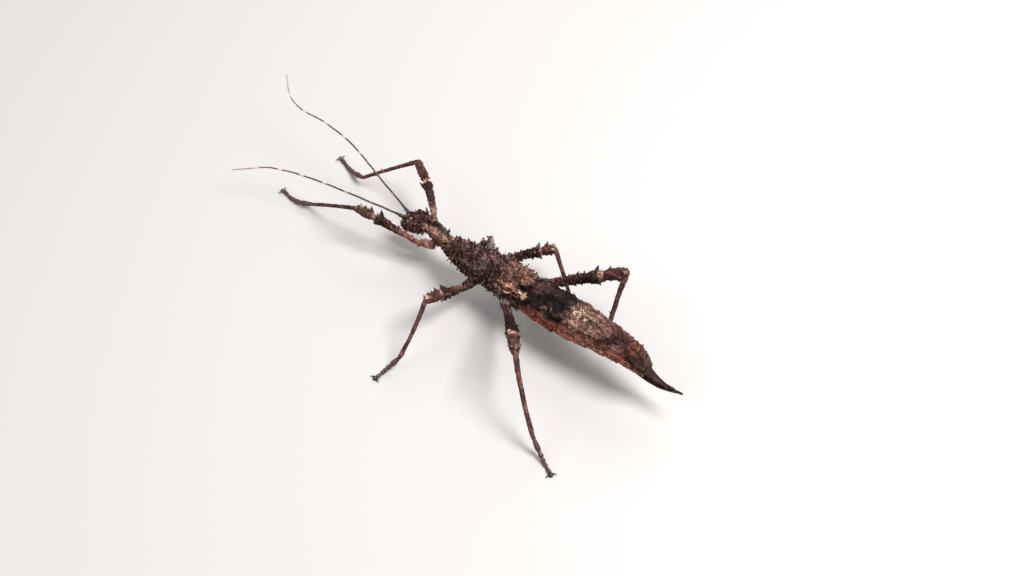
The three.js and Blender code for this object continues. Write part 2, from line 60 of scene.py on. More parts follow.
# %% Body millimetres
MM = 0.001
MESOTHORAX_FRONT = -14.8
plate_low, plate_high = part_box("mesothorax")
BODY_ZERO = Vector(((plate_low.x + plate_high.x) / 2, plate_low.y - MESOTHORAX_FRONT * MM, 0))


def place(x, y, z):
    """A point given in body millimetres, in the frame's metres."""
    return BODY_ZERO + Vector((x, y, z)) * MM


def to_body(points):
    """Rows of points in metres as rows in body millimetres."""
    return (np.asarray(points, float) - np.array(BODY_ZERO)) / MM


def to_frame(points):
    """Rows of points in body millimetres as rows in metres."""
    return np.asarray(points, float) * MM + np.array(BODY_ZERO)


print("body zero (m):", [round(v, 5) for v in BODY_ZERO])

# %% [markdown]
# ## Floor, light and camera
# The insect stands on a plain pale floor under soft studio light. A small subject needs lamps that are
# large beside it: they wrap round the thorns and leave only soft shadows, as a light tent does. A single
# hard lamp would be simpler, but it would drown a dark, rough animal in black. The camera looks down from
# the insect's front left, with a long lens, so that near and far legs keep their sizes.

# %% Floor and sky
FLOOR_SIDE = 3.0
FLOOR_COLOUR = (0.47, 0.452, 0.445, 1)
FLOOR_ROUGHNESS = 0.7
SKY_COLOUR = (1.0, 0.985, 0.97, 1)
SKY_LIGHT = 0.36


def wire(node, inputs):
    """Gives each socket of a shader node a value, or the output of another node."""
    for socket, value in inputs.items():
        if isinstance(value, bpy.types.NodeSocket):
            node.id_data.links.new(value, node.inputs[socket])
        else:
            node.inputs[socket].default_value = value


def new_finish(name):
    """A new material, and the shader node in it."""
    finish = bpy.data.materials.new(name)
    finish.use_nodes = True
    return finish, finish.node_tree.nodes["Principled BSDF"]


bpy.ops.object.select_all(action="DESELECT")
bpy.ops.mesh.primitive_plane_add(size=FLOOR_SIDE, location=(0, 0, 0))
floor = bpy.context.object
floor.name = "floor"
floor_paint, floor_shader = new_finish("floor_paint")
wire(floor_shader, {"Base Color": FLOOR_COLOUR, "Roughness": FLOOR_ROUGHNESS})
floor.data.materials.append(floor_paint)

world = bpy.data.worlds.new("studio")
world.use_nodes = True
wire(world.node_tree.nodes["Background"], {"Color": SKY_COLOUR, "Strength": SKY_LIGHT})
bpy.context.scene.world = world
bpy.context.scene.view_settings.view_transform = "Standard"
print("floor side (m):", FLOOR_SIDE, "sky light:", SKY_LIGHT)

# %% Lamps and camera


def new_object(name, data):
    """A new object in the scene that shows this mesh, lamp or camera."""
    thing = bpy.data.objects.new(name, data)
    bpy.context.scene.collection.objects.link(thing)
    return thing


def hang(name, data, target, azimuth, elevation, distance):
    """Puts a lamp or a camera this far from its target, at angles in degrees, and turns it towards it."""
    a, e = math.radians(azimuth), math.radians(elevation)
    back = Vector((math.sin(a) * math.cos(e), -math.cos(a) * math.cos(e), math.sin(e)))
    holder = new_object(name, data)
    holder.location = target + back * distance
    holder.rotation_euler = (-back).to_track_quat("-Z", "Y").to_euler()
    return holder


def soft_lamp(name, azimuth, elevation, distance, side, watts):
    """A square lamp that looks at the middle of the insect."""
    lamp = bpy.data.lights.new(name, "AREA")
    lamp.shape = "SQUARE"
    lamp.size = side
    lamp.energy = watts
    hang(name, lamp, place(0, 6, 8), azimuth, elevation, distance)


soft_lamp("key", azimuth=205, elevation=62, distance=0.55, side=0.24, watts=4.8)
soft_lamp("fill", azimuth=60, elevation=40, distance=0.60, side=0.40, watts=1.3)
soft_lamp("rim", azimuth=300, elevation=35, distance=0.60, side=0.30, watts=1.4)

lens = bpy.data.cameras.new("camera")
lens.lens = 85
lens.sensor_width = 36
lens.clip_start = 0.01
camera_target = place(0.108, 5.955, 8.0)
camera = hang("camera", lens, camera_target, azimuth=130.38, elevation=50.15, distance=0.570)
bpy.context.scene.camera = camera
print("camera at (m):", [round(v, 3) for v in camera.location])

# %% [markdown]
# ## Helpers for working as by hand
# Blender's operators act on whatever is selected. These helpers clear the selection, take up one piece,
# open it for editing and apply a modifier, so that every later cell can read like a list of modelling
# steps.

# %% Helpers


def put_down():
    """Leaves edit mode and selects nothing."""
    if bpy.context.mode != "OBJECT":
        bpy.ops.object.mode_set(mode="OBJECT")
    bpy.ops.object.select_all(action="DESELECT")


def take_up(piece):
    """Makes a piece the one that the operators work on."""
    put_down()
    piece.select_set(True)
    bpy.context.view_layer.objects.active = piece


def open_up(piece):
    """Opens a piece in edit mode with everything in it selected."""
    take_up(piece)
    bpy.ops.object.mode_set(mode="EDIT")
    bpy.ops.mesh.select_all(action="SELECT")


def face_outwards(piece):
    """Turns the faces of a closed piece outwards."""
    open_up(piece)
    bpy.ops.mesh.normals_make_consistent(inside=False)
    bpy.ops.object.mode_set(mode="OBJECT")


def apply(piece, kind, **settings):
    """Adds a modifier with these settings and applies it."""
    take_up(piece)
    modifier = piece.modifiers.new(kind.lower(), kind)
    for name, value in settings.items():
        setattr(modifier, name, value)
    bpy.ops.object.modifier_apply(modifier=modifier.name)


def rename(piece, name):
    """Gives a piece and its mesh the same name."""
    piece.name = name
    piece.data.name = name


def join(pieces, name):
    """Joins pieces into the first one."""
    put_down()
    for piece in pieces:
        piece.select_set(True)
    bpy.context.view_layer.objects.active = pieces[0]
    bpy.ops.object.join()
    rename(pieces[0], name)
    return pieces[0]


def copy_of(node):
    """A copy of a CAD node's mesh whose loose triangles are merged into one closed surface."""
    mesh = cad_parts[node].data.copy()
    mesh.materials.clear()
    piece = new_object(node + "_copy", mesh)
    open_up(piece)
    bpy.ops.mesh.remove_doubles(threshold=0.002 * MM)
    bpy.ops.object.mode_set(mode="OBJECT")
    return piece


# %% Vertices as rows


def rows(collection, what):
    """The vectors that a mesh collection holds, as rows."""
    values = np.empty(len(collection) * 3, np.float32)
    collection.foreach_get(what, values)
    return values.reshape(-1, 3).astype(float)


def body_points(mesh):
    """The vertices of a mesh as rows in body millimetres."""
    return to_body(rows(mesh.vertices, "co"))


def set_rows(mesh, points):
    """Moves all vertices of a mesh to these rows of points, given in body millimetres."""
    mesh.vertices.foreach_set("co", to_frame(points).astype(np.float32).ravel())
    mesh.update()


corners = {node: body_points(thing.data) for node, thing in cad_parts.items()}
print("CAD vertices:", sum(len(points) for points in corners.values()))

# %% [markdown]
# ## Where things are
# Markings and thorns follow the anatomy: a pale band sits two thirds along each femur, and the back is
# crusted while the flank is bare. So each point of the surface is told which part it belongs to, how far
# along that part it lies and at what angle round it. The leg joints are found in the frame, where two
# nodes come closest.

# %% Parts and joints
SIDES = ("left", "right")
RANKS = ("fore", "mid", "hind")
LEGS = [f"{side}_{rank}" for side in SIDES for rank in RANKS]
TRUNK_NODES = ["head", "prothorax", "mesothorax", "metathorax"] + [f"abdomen_{n}" for n in range(2, 10)]
LIMB_NODES = [f"{leg}_{piece}" for leg in LEGS for piece in ("coxa", "femur", "tibia")]
FLESH = TRUNK_NODES + LIMB_NODES
CARRIER = {"fore": "prothorax", "mid": "mesothorax", "hind": "metathorax"}


def meeting_place(first, second, count=10):
    """The middle of the points where two neighbouring nodes come closest."""
    a, b = np.unique(corners[first], axis=0), np.unique(corners[second], axis=0)
    gaps = np.linalg.norm(a[:, None] - b[None], axis=2)
    near_a = a[np.argsort(gaps.min(1))[:count]]
    near_b = b[np.argsort(gaps.min(0))[:count]]
    return (near_a.mean(0) + near_b.mean(0)) / 2


limb_line = {}
for leg in LEGS:
    hip = meeting_place(CARRIER[leg.split("_")[1]], f"{leg}_coxa")
    root = meeting_place(f"{leg}_coxa", f"{leg}_femur")
    knee = meeting_place(f"{leg}_femur", f"{leg}_tibia")
    ankle = meeting_place(f"{leg}_tibia", f"{leg}_tarsus")
    limb_line[f"{leg}_coxa"] = (hip, root)
    limb_line[f"{leg}_femur"] = (root, knee)
    limb_line[f"{leg}_tibia"] = (knee, ankle)
    print(leg, "knee at", knee.round(1), "ankle at", ankle.round(1))

# Where the pale waist of each femur is, as a share of its length.
BAND_AT = {
    "left_fore": 0.71, "left_mid": 0.63, "left_hind": 0.66,
    "right_fore": 0.66, "right_mid": 0.70, "right_hind": 0.71,
}

# The middle of the trunk at some places along it: distance along, height.
BACKBONE = np.array([
    (-28.4, 6.5), (-20.2, 11.8), (-17.8, 9.1), (-14.8, 8.6), (-4.0, 9.5), (6.5, 10.2),
    (19.0, 10.2), (33.5, 11.7), (41.0, 11.9), (47.2, 9.7), (50.4, 8.0), (56.6, 9.6),
])

# %% Spots all over the frame
# One spot stands for this many square millimetres.
SPOT_AREA = 0.12


def limb_axes(node):
    """Start, length and the three directions (along, upper edge, across) of a piece of a leg."""
    start, end = limb_line[node]
    along = end - start
    length = np.linalg.norm(along)
    along = along / length
    up = np.array([0, 0, 1.0]) - along * along[2]
    up /= np.linalg.norm(up)
    return start, length, along, up, np.cross(along, up)


def node_triangles(node):
    """The three corner points of each triangle of a node."""
    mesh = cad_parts[node].data
    mesh.calc_loop_triangles()
    numbers = np.empty(len(mesh.loop_triangles) * 3, np.int32)
    mesh.loop_triangles.foreach_get("vertices", numbers)
    return corners[node][numbers.reshape(-1, 3)]


def spots_on_frame():
    """Points spread evenly over the flesh nodes, and the number of the node that each lies on."""
    draw = np.random.default_rng(11)
    spots, owners = [], []
    for number, node in enumerate(FLESH):
        triangles = node_triangles(node)
        sides = np.cross(triangles[:, 1] - triangles[:, 0], triangles[:, 2] - triangles[:, 0])
        counts = np.ceil(np.linalg.norm(sides, axis=1) / 2 / SPOT_AREA).astype(int)
        chosen = np.repeat(np.arange(len(triangles)), counts)
        a, b = draw.random((2, len(chosen), 1))
        flip = (a + b) > 1
        a, b = np.where(flip, 1 - a, a), np.where(flip, 1 - b, b)
        t = triangles[chosen]
        spots.append(t[:, 0] + a * (t[:, 1] - t[:, 0]) + b * (t[:, 2] - t[:, 0]))
        owners.append(np.full(len(chosen), number))
    return np.vstack(spots), np.concatenate(owners)


def tree_of(points):
    """A search tree that finds the nearest of these points."""
    tree = kdtree.KDTree(len(points))
    for number, point in enumerate(points):
        tree.insert(point, number)
    tree.balance()
    return tree


spots, owners = spots_on_frame()
frame_tree = tree_of(spots)
print("spots on the frame:", len(spots))

# %% Survey
TRUNK_FRONT = -29
TRUNK_LENGTH = 77


class Survey:
    """What is known of points in body millimetres.

    node is the number of the part that a point lies on, share how far along that part it is, angle how many
    degrees round it, and from_band how far past the waist of its femur, as a share, or 1 off the femora.
    """

    def __init__(self, points):
        self.points = points
        self.along = points[:, 1]
        self.node = np.array([owners[frame_tree.find(p)[1]] for p in points.tolist()])
        self.trunk = self.node < len(TRUNK_NODES)
        height = points[:, 2] - np.interp(self.along, BACKBONE[:, 0], BACKBONE[:, 1])
        self.share = np.where(self.trunk, (self.along - TRUNK_FRONT) / TRUNK_LENGTH, 0)
        self.angle = np.where(self.trunk, np.degrees(np.arctan2(height, points[:, 0])), 0)
        self.from_band = np.ones(len(points))
        for number, node in enumerate(FLESH):
            if node not in limb_line:
                continue
            mine = self.node == number
            start, length, along, up, across = limb_axes(node)
            offset = points[mine] - start
            self.share[mine] = offset @ along / length
            self.angle[mine] = np.degrees(np.arctan2(offset @ across, offset @ up))
            if node.endswith("femur"):
                self.from_band[mine] = self.share[mine] - BAND_AT[node.removesuffix("_femur")]

    def on(self, word):
        """Which points lie on a node whose name holds this word."""
        return np.isin(self.node, [n for n, node in enumerate(FLESH) if word in node])


knee_survey = Survey(np.array([limb_line["left_mid_femur"][1]]))
print("the left middle knee is on", FLESH[knee_survey.node[0]], "at share", knee_survey.share.round(2))

# %% [markdown]
# ## The skin
# The real insect's cuticle runs without a break from head to tail and down the legs, so one skin stands
# for all these parts. It could be sculpted from one long tube, but the frame already has the true
# outline. So each part is copied, swelled by a hair so that neighbours overlap, and all are fused by a
# voxel remesh. Smoothing takes the facets away. Where the crust is thick, on the thorax above all, the
# relief then pulls the skin in to leave room for it.

# %% Fuse the skin
VOXEL = 0.21
SWELL = 0.12
copies = [copy_of(node) for node in FLESH]
for piece in copies:
    apply(piece, "DISPLACE", strength=SWELL * MM, mid_level=0.0)
skin = join(copies, "skin")
apply(skin, "REMESH", mode="VOXEL", voxel_size=VOXEL * MM)
apply(skin, "SMOOTH", factor=0.5, iterations=4)
print("skin:", len(skin.data.vertices), "vertices,", 2 * len(skin.data.polygons), "triangles")

# %% [markdown]
# ## Grain of the bark
# Bark is uneven at every scale. Noise in three sizes gives that: broad lumps, ridges between them and a
# fine grain. The noise reads the place of each point, so the skin, its colours and its crust can all ask
# for the same value and agree. A sculpted surface would look as good, but code can be repeated exactly.

# %% Noise


def lumps(points, size, octaves=2, seed=0):
    """Soft noise from about -1 to 1, with bumps of about this size in millimetres."""
    moved = points / size + 31.7 * seed
    return np.array([noise.fractal(p, 0.9, 2.0, octaves) for p in moved.tolist()])


def ridges(points, size, seed=0):
    """Noise from 0 to 1 that is 1 along winding crests."""
    return 1 - np.minimum(np.abs(lumps(points, size, 2, seed)) * 2.4, 1)


def soft_step(low, high, value):
    """0 below low, 1 above high, and a smooth slope between."""
    t = np.clip((value - low) / (high - low), 0, 1)
    return t * t * (3 - 2 * t)


def stretch(value, rise_from, rise_to, fall_from, fall_to):
    """0, rising to 1 between the first two values and falling back to 0 between the last two."""
    return soft_step(rise_from, rise_to, value) * (1 - soft_step(fall_from, fall_to, value))


def bump_at(value, centre, width):
    """1 at the centre, falling off on both sides."""
    return np.exp(-(((value - centre) / width) ** 2))


def upper_side(angle, low, high):
    """0 below the low angle and 1 above the high one, counted in degrees up from either flank."""
    return soft_step(low, high, angle) * soft_step(low, high, 180 - angle)


def crest_line(angle, where, width):
    """1 on a line that runs along the body at this angle on both sides, falling off over some degrees."""
    away = np.minimum(np.abs(angle - where), np.abs(180 - where - angle))
    return bump_at(away, 0, width)


print("mean of the fine noise on the head:", round(lumps(corners["head"], 0.55).mean(), 3))

# %% [markdown]
# ## Relief
# The thorax is the roughest part, then the back of the abdomen; the flanks are folded along the body, and
# the legs are nearly smooth. So one pattern of lumps, twisted crests and grain serves the whole skin, and
# each part has a strength for it. The crests are twisted by shifting the noise with more noise, which
# gives the gnarled look of moss and bark. Folds, keels and the waist of each femur are added by their
# place.

# %% Gnarled pattern
CREST_SIZE = 1.25
LUMP_SIZE = 2.6
GRAIN_SIZE = 0.6


def gnarl_of(points):
    """The gnarled pattern from about -0.6 in the pits to 1 on the crests."""
    twist = np.column_stack([lumps(points, 1.9, 1, seed) for seed in (11, 12, 13)])
    crests = ridges((points + 0.7 * twist) * np.array([1, 0.65, 1]), CREST_SIZE, 2)
    broad, fine = lumps(points, LUMP_SIZE, 2, 1), lumps(points, GRAIN_SIZE, 2, 3)
    return 1.25 * crests**2 + 0.4 * broad + 0.28 * fine - 0.35


skin_known = Survey(body_points(skin.data))
skin_gnarl = gnarl_of(skin_known.points)
print("gnarled pattern from %.2f to %.2f" % (skin_gnarl.min(), skin_gnarl.max()))

# %% Raise the relief
# Strength of the pattern, and how far the whole part is raised or, where negative, sunk, in millimetres.
ROUGHNESS_OF = {
    "head": (0.30, -0.16), "prothorax": (0.22, -0.14), "mesothorax": (0.52, -0.34),
    "metathorax": (0.50, -0.32), "abdomen": (0.26, -0.20),
    "coxa": (0.20, 0.04), "femur": (0.15, 0.02), "tibia": (0.06, -0.05),
}
SEGMENT_EDGES = (-14.9, -0.9, 11.6, 16.8, 22.0, 27.2, 32.0, 36.4, 40.2, 43.6)
EDGE_GROOVE = 0.16


def abdomen_relief(known, gnarl):
    """Humps and pleats on the back, folds on the flanks and three keels, in millimetres."""
    angle, y = known.angle, known.along
    back = upper_side(angle, 10, 40)
    folds = 0.14 * np.sin(angle / 5.5 + 2.5 * gnarl) * (1 - back)
    pleats = 0.12 * np.sin(angle / 1.9 + 1.5 * gnarl) * back * soft_step(23, 26, y)
    humps = 0.95 * np.maximum(lumps(known.points, 2.6, 1, 14), -0.25) * back * (1 - soft_step(20, 25, y))
    keels = 0.30 * bump_at(angle, 90, 9) + 0.28 * crest_line(angle, 42, 8)
    rump = soft_step(43.5, 47.5, y)
    return folds + pleats + humps + keels - 0.6 * rump


def femur_relief(known):
    """A swelling before the waist, the waist and a swelling behind it, in millimetres."""
    d = known.from_band
    return 0.16 * bump_at(d, -0.07, 0.04) - 0.16 * bump_at(d, 0, 0.03) + 0.10 * bump_at(d, 0.10, 0.05)


def relief_of(known, gnarl):
    """How far each surveyed point of the skin is raised or sunk, in millimetres."""
    height = np.zeros(len(gnarl))
    for part, (strength, sunk) in ROUGHNESS_OF.items():
        height += np.where(known.on(part), sunk + strength * gnarl, 0)
    height += known.on("abdomen") * abdomen_relief(known, gnarl)
    for edge in SEGMENT_EDGES:
        height -= EDGE_GROOVE * bump_at(known.along, edge, 0.3) * known.trunk
    height += femur_relief(known)
    height -= 0.14 * known.on("left_fore_femur") * (1 - soft_step(0.25, 0.45, known.share))
    height -= 0.08 * known.on("left_fore_coxa")
    wrinkles = 0.07 * np.sin(known.share * 40 + 2 * gnarl)
    return height + known.on("coxa") * wrinkles


skin_height = relief_of(skin_known, skin_gnarl)
set_rows(skin.data, skin_known.points + rows(skin.data.vertex_normals, "vector") * skin_height[:, None])
take_up(skin)
bpy.ops.object.shade_smooth()
print("relief from %.2f to %.2f mm" % (skin_height.min(), skin_height.max()))

# %% [markdown]
# ## Markings
# The insect is painted like bark: a dark brown ground, a pinkish collar behind the head, a tan patch at
# the back of the thorax beside a black saddle, rusty flanks, and flecks like lichen on the back. The
# colours are worked out from the place on the body, by one function that skin and crust share. An image
# would fix them to one unwrap; this way every thorn takes the colour of the spot that it grows from. On
# the skin, painted shade darkens the pits of the relief and a painted highlight lightens its crests.

# %% Palette


def paint(red, green, blue):
    """A colour given as screen values from 0 to 255, in linear light."""
    screen = np.array([red, green, blue]) / 255
    return np.where(screen <= 0.04045, screen / 12.92, ((screen + 0.055) / 1.055) ** 2.4)


BARK_DARK = paint(40, 24, 21)
BARK = paint(76, 53, 48)
BARK_LIGHT = paint(126, 106, 100)
SOOT = paint(17, 11, 11)
DARK_HORN = paint(40, 29, 30)
COLLAR = paint(162, 120, 110)
TAN = paint(142, 104, 92)
AMBER = paint(192, 142, 114)
CREAM = paint(206, 168, 142)
RUST = paint(130, 72, 56)
LICHEN = paint(204, 178, 154)
OLIVE = paint(106, 80, 66)
LEG_DARK = paint(52, 33, 31)
LEG_BROWN = paint(100, 66, 60)
FLANK = paint(138, 94, 80)
OXBLOOD = paint(34, 17, 19)
GREY = paint(96, 84, 81)
LEG_BAND = paint(172, 130, 120)
BLUSH = paint(150, 102, 93)
print("bark in linear light:", BARK.round(3))

# %% Layers of paint


def mix(colours, colour, share):
    """Rows of colours moved towards one colour, by a share of each row."""
    return colours + (np.asarray(colour) - colours) * np.clip(share, 0, 1)[:, None]


def two_tones(dark, pale, share):
    """Rows of colours between two, one row for each share."""
    return mix(np.tile(dark, (len(share), 1)), pale, share)


class Paintwork:
    """Colours of surveyed points, painted layer over layer. wobble is broad noise, crumbs is fine noise."""

    def __init__(self, known, wobble, crumbs, ground):
        self.known, self.wobble, self.crumbs = known, wobble, crumbs
        self.colours = np.tile(ground, (len(wobble), 1))

    def add(self, colour, share):
        """Paints every point towards a colour by its share."""
        self.colours = mix(self.colours, colour, share)

    def grain(self, low, high):
        """0 where the fine noise is below low, 1 where it is above high."""
        return soft_step(low, high, self.crumbs)

    def patch(self, centre, reach, ragged=1):
        """1 inside a round patch, 0 outside it. Its edge follows the broad noise where it is ragged."""
        distance = np.linalg.norm(self.known.points - np.array(centre), axis=1) / reach
        return 1 - soft_step(0.7, 1.2, distance + 0.5 * ragged * self.wobble)

    def spot(self, colour, strength, centre, reach, shown=None, ragged=1):
        """Paints a round patch, and only on the crumbs between two noise values where these are given."""
        share = strength * self.patch(centre, reach, ragged)
        if shown:
            share = share * self.grain(*shown)
        self.add(colour, share)


# %% Markings of the collar and the thorax
RIDGE_X = 0.1


def mark_collar(work):
    """The pale ridge of the prothorax, its dark sides, partly painted shade cast by the nape, and the spots
    beside it.
    """
    angle, y = work.known.angle, work.known.along
    collar = work.known.on("prothorax")
    edge = 8 + 30 * soft_step(-18.5, -16.8, y)
    top = upper_side(angle, edge, edge + 15) * soft_step(-19.9, -19.4, y)
    pale = (0.95 - 0.45 * soft_step(-18.4, -16.6, y)) * (0.5 + 0.5 * work.grain(-0.3, 0.2))
    # The dark sides beside the ridge are partly the collar's own dark brown and partly painted shade cast
    # by the nape.
    side = soft_step(0.55, 1.05, np.abs(work.known.points[:, 0] - RIDGE_X) + 0.25 * work.wobble)
    work.add(BARK, 0.6 * collar * soft_step(-10, 20, angle))
    work.add(COLLAR, collar * top * pale)
    work.add(BARK, 0.8 * collar * side * soft_step(-19.3, -18.8, y))
    work.add(BARK, 0.6 * collar * stretch(y, -17.6, -16.8, -15.9, -15.3))
    work.spot(COLLAR, 0.75, (1.2, -20.2, 11.2), 0.9)
    work.spot(AMBER, 0.55, (-0.5, -13.4, 10.4), 1.2, shown=(-0.3, 0.3))
    work.spot(AMBER, 0.72, (0.5, -14.6, 10.1), 0.9, ragged=0.5)
    work.spot(OLIVE, 0.8, (1.5, -14.4, 9.7), 1.3)
    work.spot(SOOT, 1, (1.15, -14.2, 10.1), 0.45, ragged=0)


def mark_thorax(work):
    """Pale flecks, grey clouds, and the tan patch at the back of the thorax with its amber spots."""
    angle, y, wobble = work.known.angle, work.known.along, work.wobble
    flecked = work.patch((-1.3, -2.3, 13.0), 1.9) + 0.6 * work.patch((-2.0, -10.0, 10.5), 1.2)
    clouds = soft_step(0.05, 0.4, lumps(work.known.points, 2.4, 1, 15))
    work.add(COLLAR, 0.75 * flecked * work.grain(-0.1, 0.3))
    work.add(GREY, 0.5 * work.known.on("mesothorax") * clouds * soft_step(-9.5, -7.5, y))
    tan = soft_step(2.6, 5.5, y + wobble) * (1 - soft_step(10.6, 12.0, y))
    tan *= soft_step(5, 40, angle + 12 * wobble)
    tan *= soft_step(-10, 30, 180 - angle + 12 * wobble)
    work.add(TAN, tan * (0.15 + 0.7 * soft_step(-0.2, 0.4, work.crumbs + 0.4 * wobble)))
    work.spot(BARK_LIGHT, 0.5, (5.0, 5.5, 10.6), 2.6, shown=(-0.2, 0.3))
    work.spot(OLIVE, 0.6, (-0.6, 5.4, 13.9), 1.2)
    work.spot(AMBER, 0.7, (3.5, 7.6, 12.8), 1.4, shown=(-0.4, 0.2))
    work.spot(AMBER, 0.5, (-2.0, 8.4, 13.4), 1.1, shown=(-0.3, 0.2))


# %% Markings of the abdomen


def mark_saddle(work, broad):
    """The black saddle at the front of the abdomen, with bark showing through and a cream spot."""
    angle, y, wobble = work.known.angle, work.known.along, work.wobble
    saddle = soft_step(11.2, 12.6, y + 1.6 * wobble) * (1 - soft_step(22.6, 24.2, y + 2.2 * wobble + broad))
    saddle *= soft_step(16, 30, angle + 10 * wobble) * soft_step(-5, 10, 180 - angle)
    work.add(SOOT, 0.95 * saddle)
    work.add(BARK, 0.35 * saddle * soft_step(0.15, 0.5, lumps(work.known.points, 2.6, 1, 14)))
    work.add(BARK, 0.9 * saddle * work.patch((-1.4, 14.6, 14.0), 2.6) * work.grain(-0.4, 0.1))
    work.spot(OLIVE, 0.8, (3.7, 19.2, 13.2), 1.5, shown=(-0.2, 0.2))
    work.add(SOOT, work.patch((2.1, 11.0, 13.4), 1.4) + 0.8 * work.patch((3.4, 12.2, 12.0), 2.0, ragged=0))
    cream = work.patch((3.0, 10.9, 12.4), 1.1) + work.patch((2.9, 12.2, 12.3), 1.25)
    work.add(CREAM, 0.9 * cream * work.grain(-0.6, -0.1))


def mark_abdomen(work):
    """Rusty flanks, the saddle, a middle with threads of lichen, and a brown rear."""
    known, y = work.known, work.known.along
    abdomen = known.on("abdomen")
    back = upper_side(known.angle, 15, 45)
    mirrored = np.where(known.angle < -90, -180 - known.angle, known.angle)
    mirrored = np.where(known.angle > 90, 180 - known.angle, mirrored)
    flank = abdomen * (1 - back) * soft_step(-65, -40, mirrored)
    broad = lumps(known.points, 3.8, 2, 16)
    work.add(RUST, flank * (0.75 + 0.3 * broad))
    work.add(FLANK, flank * soft_step(22, 29, y + 2 * broad) * (0.85 - 0.5 * soft_step(36, 42, y)))
    work.add(BLUSH, 0.35 * flank * work.grain(0.1, 0.5))
    mark_saddle(work, broad)

    work.add(OLIVE, 0.75 * abdomen * stretch(y, 24.0, 25.4, 32.0, 36.0) * back)
    threads = soft_step(0.78, 0.93, ridges(known.points, 1.0, 9))
    flecked = work.patch((0.8, 26.8, 14.9), 2.7) + 0.7 * work.patch((1.4, 30.6, 14.8), 2.4)
    work.add(LICHEN, 0.85 * flecked * threads)
    work.spot(LICHEN, 0.4, (3.4, 26.6, 13.6), 1.3, shown=(-0.3, 0.2))
    stripe = bump_at(np.abs(known.points[:, 0]), 2.0, 0.22) * stretch(y, 24.0, 25.0, 31, 34)
    work.add(BLUSH, 0.8 * stripe * abdomen * (known.points[:, 2] > 12))

    rear = soft_step(31, 35, y) * abdomen
    work.add(LEG_BROWN, 0.75 * rear * back * soft_step(-0.4, 0.3, broad))
    work.add(BARK_DARK, 0.75 * rear * soft_step(0.1, 0.4, -broad))
    work.spot(SOOT, 0.5, (-0.4, 38.4, 15.0), 2.2)
    work.spot(RUST, 0.4, (0.2, 42.4, 14.3), 1.4)
    work.add(BARK, 0.8 * soft_step(42.5, 45.5, y) * (0.6 + 0.5 * work.wobble))
    work.spot(CREAM, 1, (2.3, 46.7, 9.7), 0.55, ragged=0)
    belly = 1 - soft_step(-75, -50, mirrored)
    work.add(BARK_DARK, 0.6 * belly * abdomen)


def trunk_marking(known, wobble, crumbs):
    """Colours of the points that lie on head and trunk."""
    work = Paintwork(known, wobble, crumbs, BARK_DARK)
    work.add(BARK, soft_step(-0.35, 0.3, wobble))
    work.add(BARK_LIGHT, 0.7 * work.grain(0.22, 0.6))
    work.add(BLUSH, 0.5 * known.on("head") * work.grain(0.0, 0.5))
    work.spot(CREAM, 0.8, (1.5, -24.7, 11.4), 0.45, ragged=0)
    mark_collar(work)
    mark_thorax(work)
    mark_abdomen(work)
    return work.colours


# %% Markings of the legs


def mark_femora(work, share, from_band):
    """Pale roots, one dark femur, brown beyond the waist, the pale band at the waist, and flecked knees."""
    known = work.known
    femur = known.on("femur")
    beyond = femur * soft_step(0.02, 0.05, from_band)
    work.add(LEG_BROWN, beyond * (0.3 + 0.6 * work.grain(-0.1, 0.4)))
    pale_root = femur * (0.35 + 0.6 * (known.on("left_mid") + known.on("left_fore")))
    work.add(BLUSH, pale_root * (1 - soft_step(0.1, 0.5, share)) * work.grain(-0.3, 0.4))
    before_waist = 1 - soft_step(-0.05, -0.02, from_band)
    dark = known.on("left_hind_femur") * soft_step(0.2, 0.3, share) * before_waist
    work.add(OXBLOOD, 0.85 * dark)
    upper = 0.35 + 0.65 * soft_step(-130, -90, -np.abs(known.angle))
    in_band = femur * (1 - soft_step(0.022, 0.042, np.abs(from_band))) * upper
    work.add(LEG_BAND, in_band * (0.30 + 0.70 * work.grain(-0.25, 0.15)))
    work.add(LICHEN, 0.5 * femur * soft_step(0.93, 0.97, share) * work.grain(0.1, 0.4))


def mark_coxae(work, share):
    """Dark horn on bare coxae, bark on crusted ones, and the pale roots of the fore femora."""
    known = work.known
    work.add(DARK_HORN, known.on("hind_coxa") * 0.8)
    work.add(LICHEN, known.on("hind_coxa") * 0.5 * work.grain(0.2, 0.4))
    work.add(BARK, known.on("mid_coxa") * soft_step(-0.4, 0.2, work.wobble))
    work.add(DARK_HORN, known.on("right_fore_coxa"))
    work.add(BARK, known.on("left_fore_coxa"))
    near_root = known.on("left_fore_coxa") * (0.35 + 0.65 * soft_step(-0.05, 0.25, share))
    near_root += known.on("left_fore_femur") * (1 - soft_step(0.12, 0.3, share))
    work.add(BLUSH, near_root * (0.35 + 0.65 * work.grain(-0.3, 0.3)))
    work.add(RUST, 0.4 * near_root * known.on("femur"))
    far_root = known.on("right_fore_femur") * (1 - soft_step(0.14, 0.3, share))
    work.add(COLLAR, 0.8 * far_root * (0.8 + 0.4 * work.wobble))


def leg_marking(known, wobble, crumbs):
    """Colours of the points that lie on coxae, femora and tibiae."""
    share = known.share + 0.02 * wobble
    work = Paintwork(known, wobble, crumbs, LEG_DARK)
    work.add(BARK_DARK, soft_step(0.0, 0.4, -wobble))
    work.add(BARK_LIGHT, 0.5 * work.grain(0.3, 0.65))
    mark_femora(work, share, known.from_band + 0.012 * wobble)
    rings = soft_step(-0.2, 0.5, np.sin(share * 21 + 1.3) + 0.8 * wobble)
    work.add(LEG_BROWN, known.on("tibia") * (0.35 + 0.45 * rings))
    work.add(BLUSH, known.on("tibia") * 0.3 * work.grain(0.25, 0.5))
    mark_coxae(work, share)
    return work.colours


# %% Paint the skin
PLAIN_GLOSS = 0.08
GLOSS_OF = {"prothorax": 0.3, "hind_coxa": 0.6, "right_fore_coxa": 0.9}
SADDLE_GLOSS = 0.4
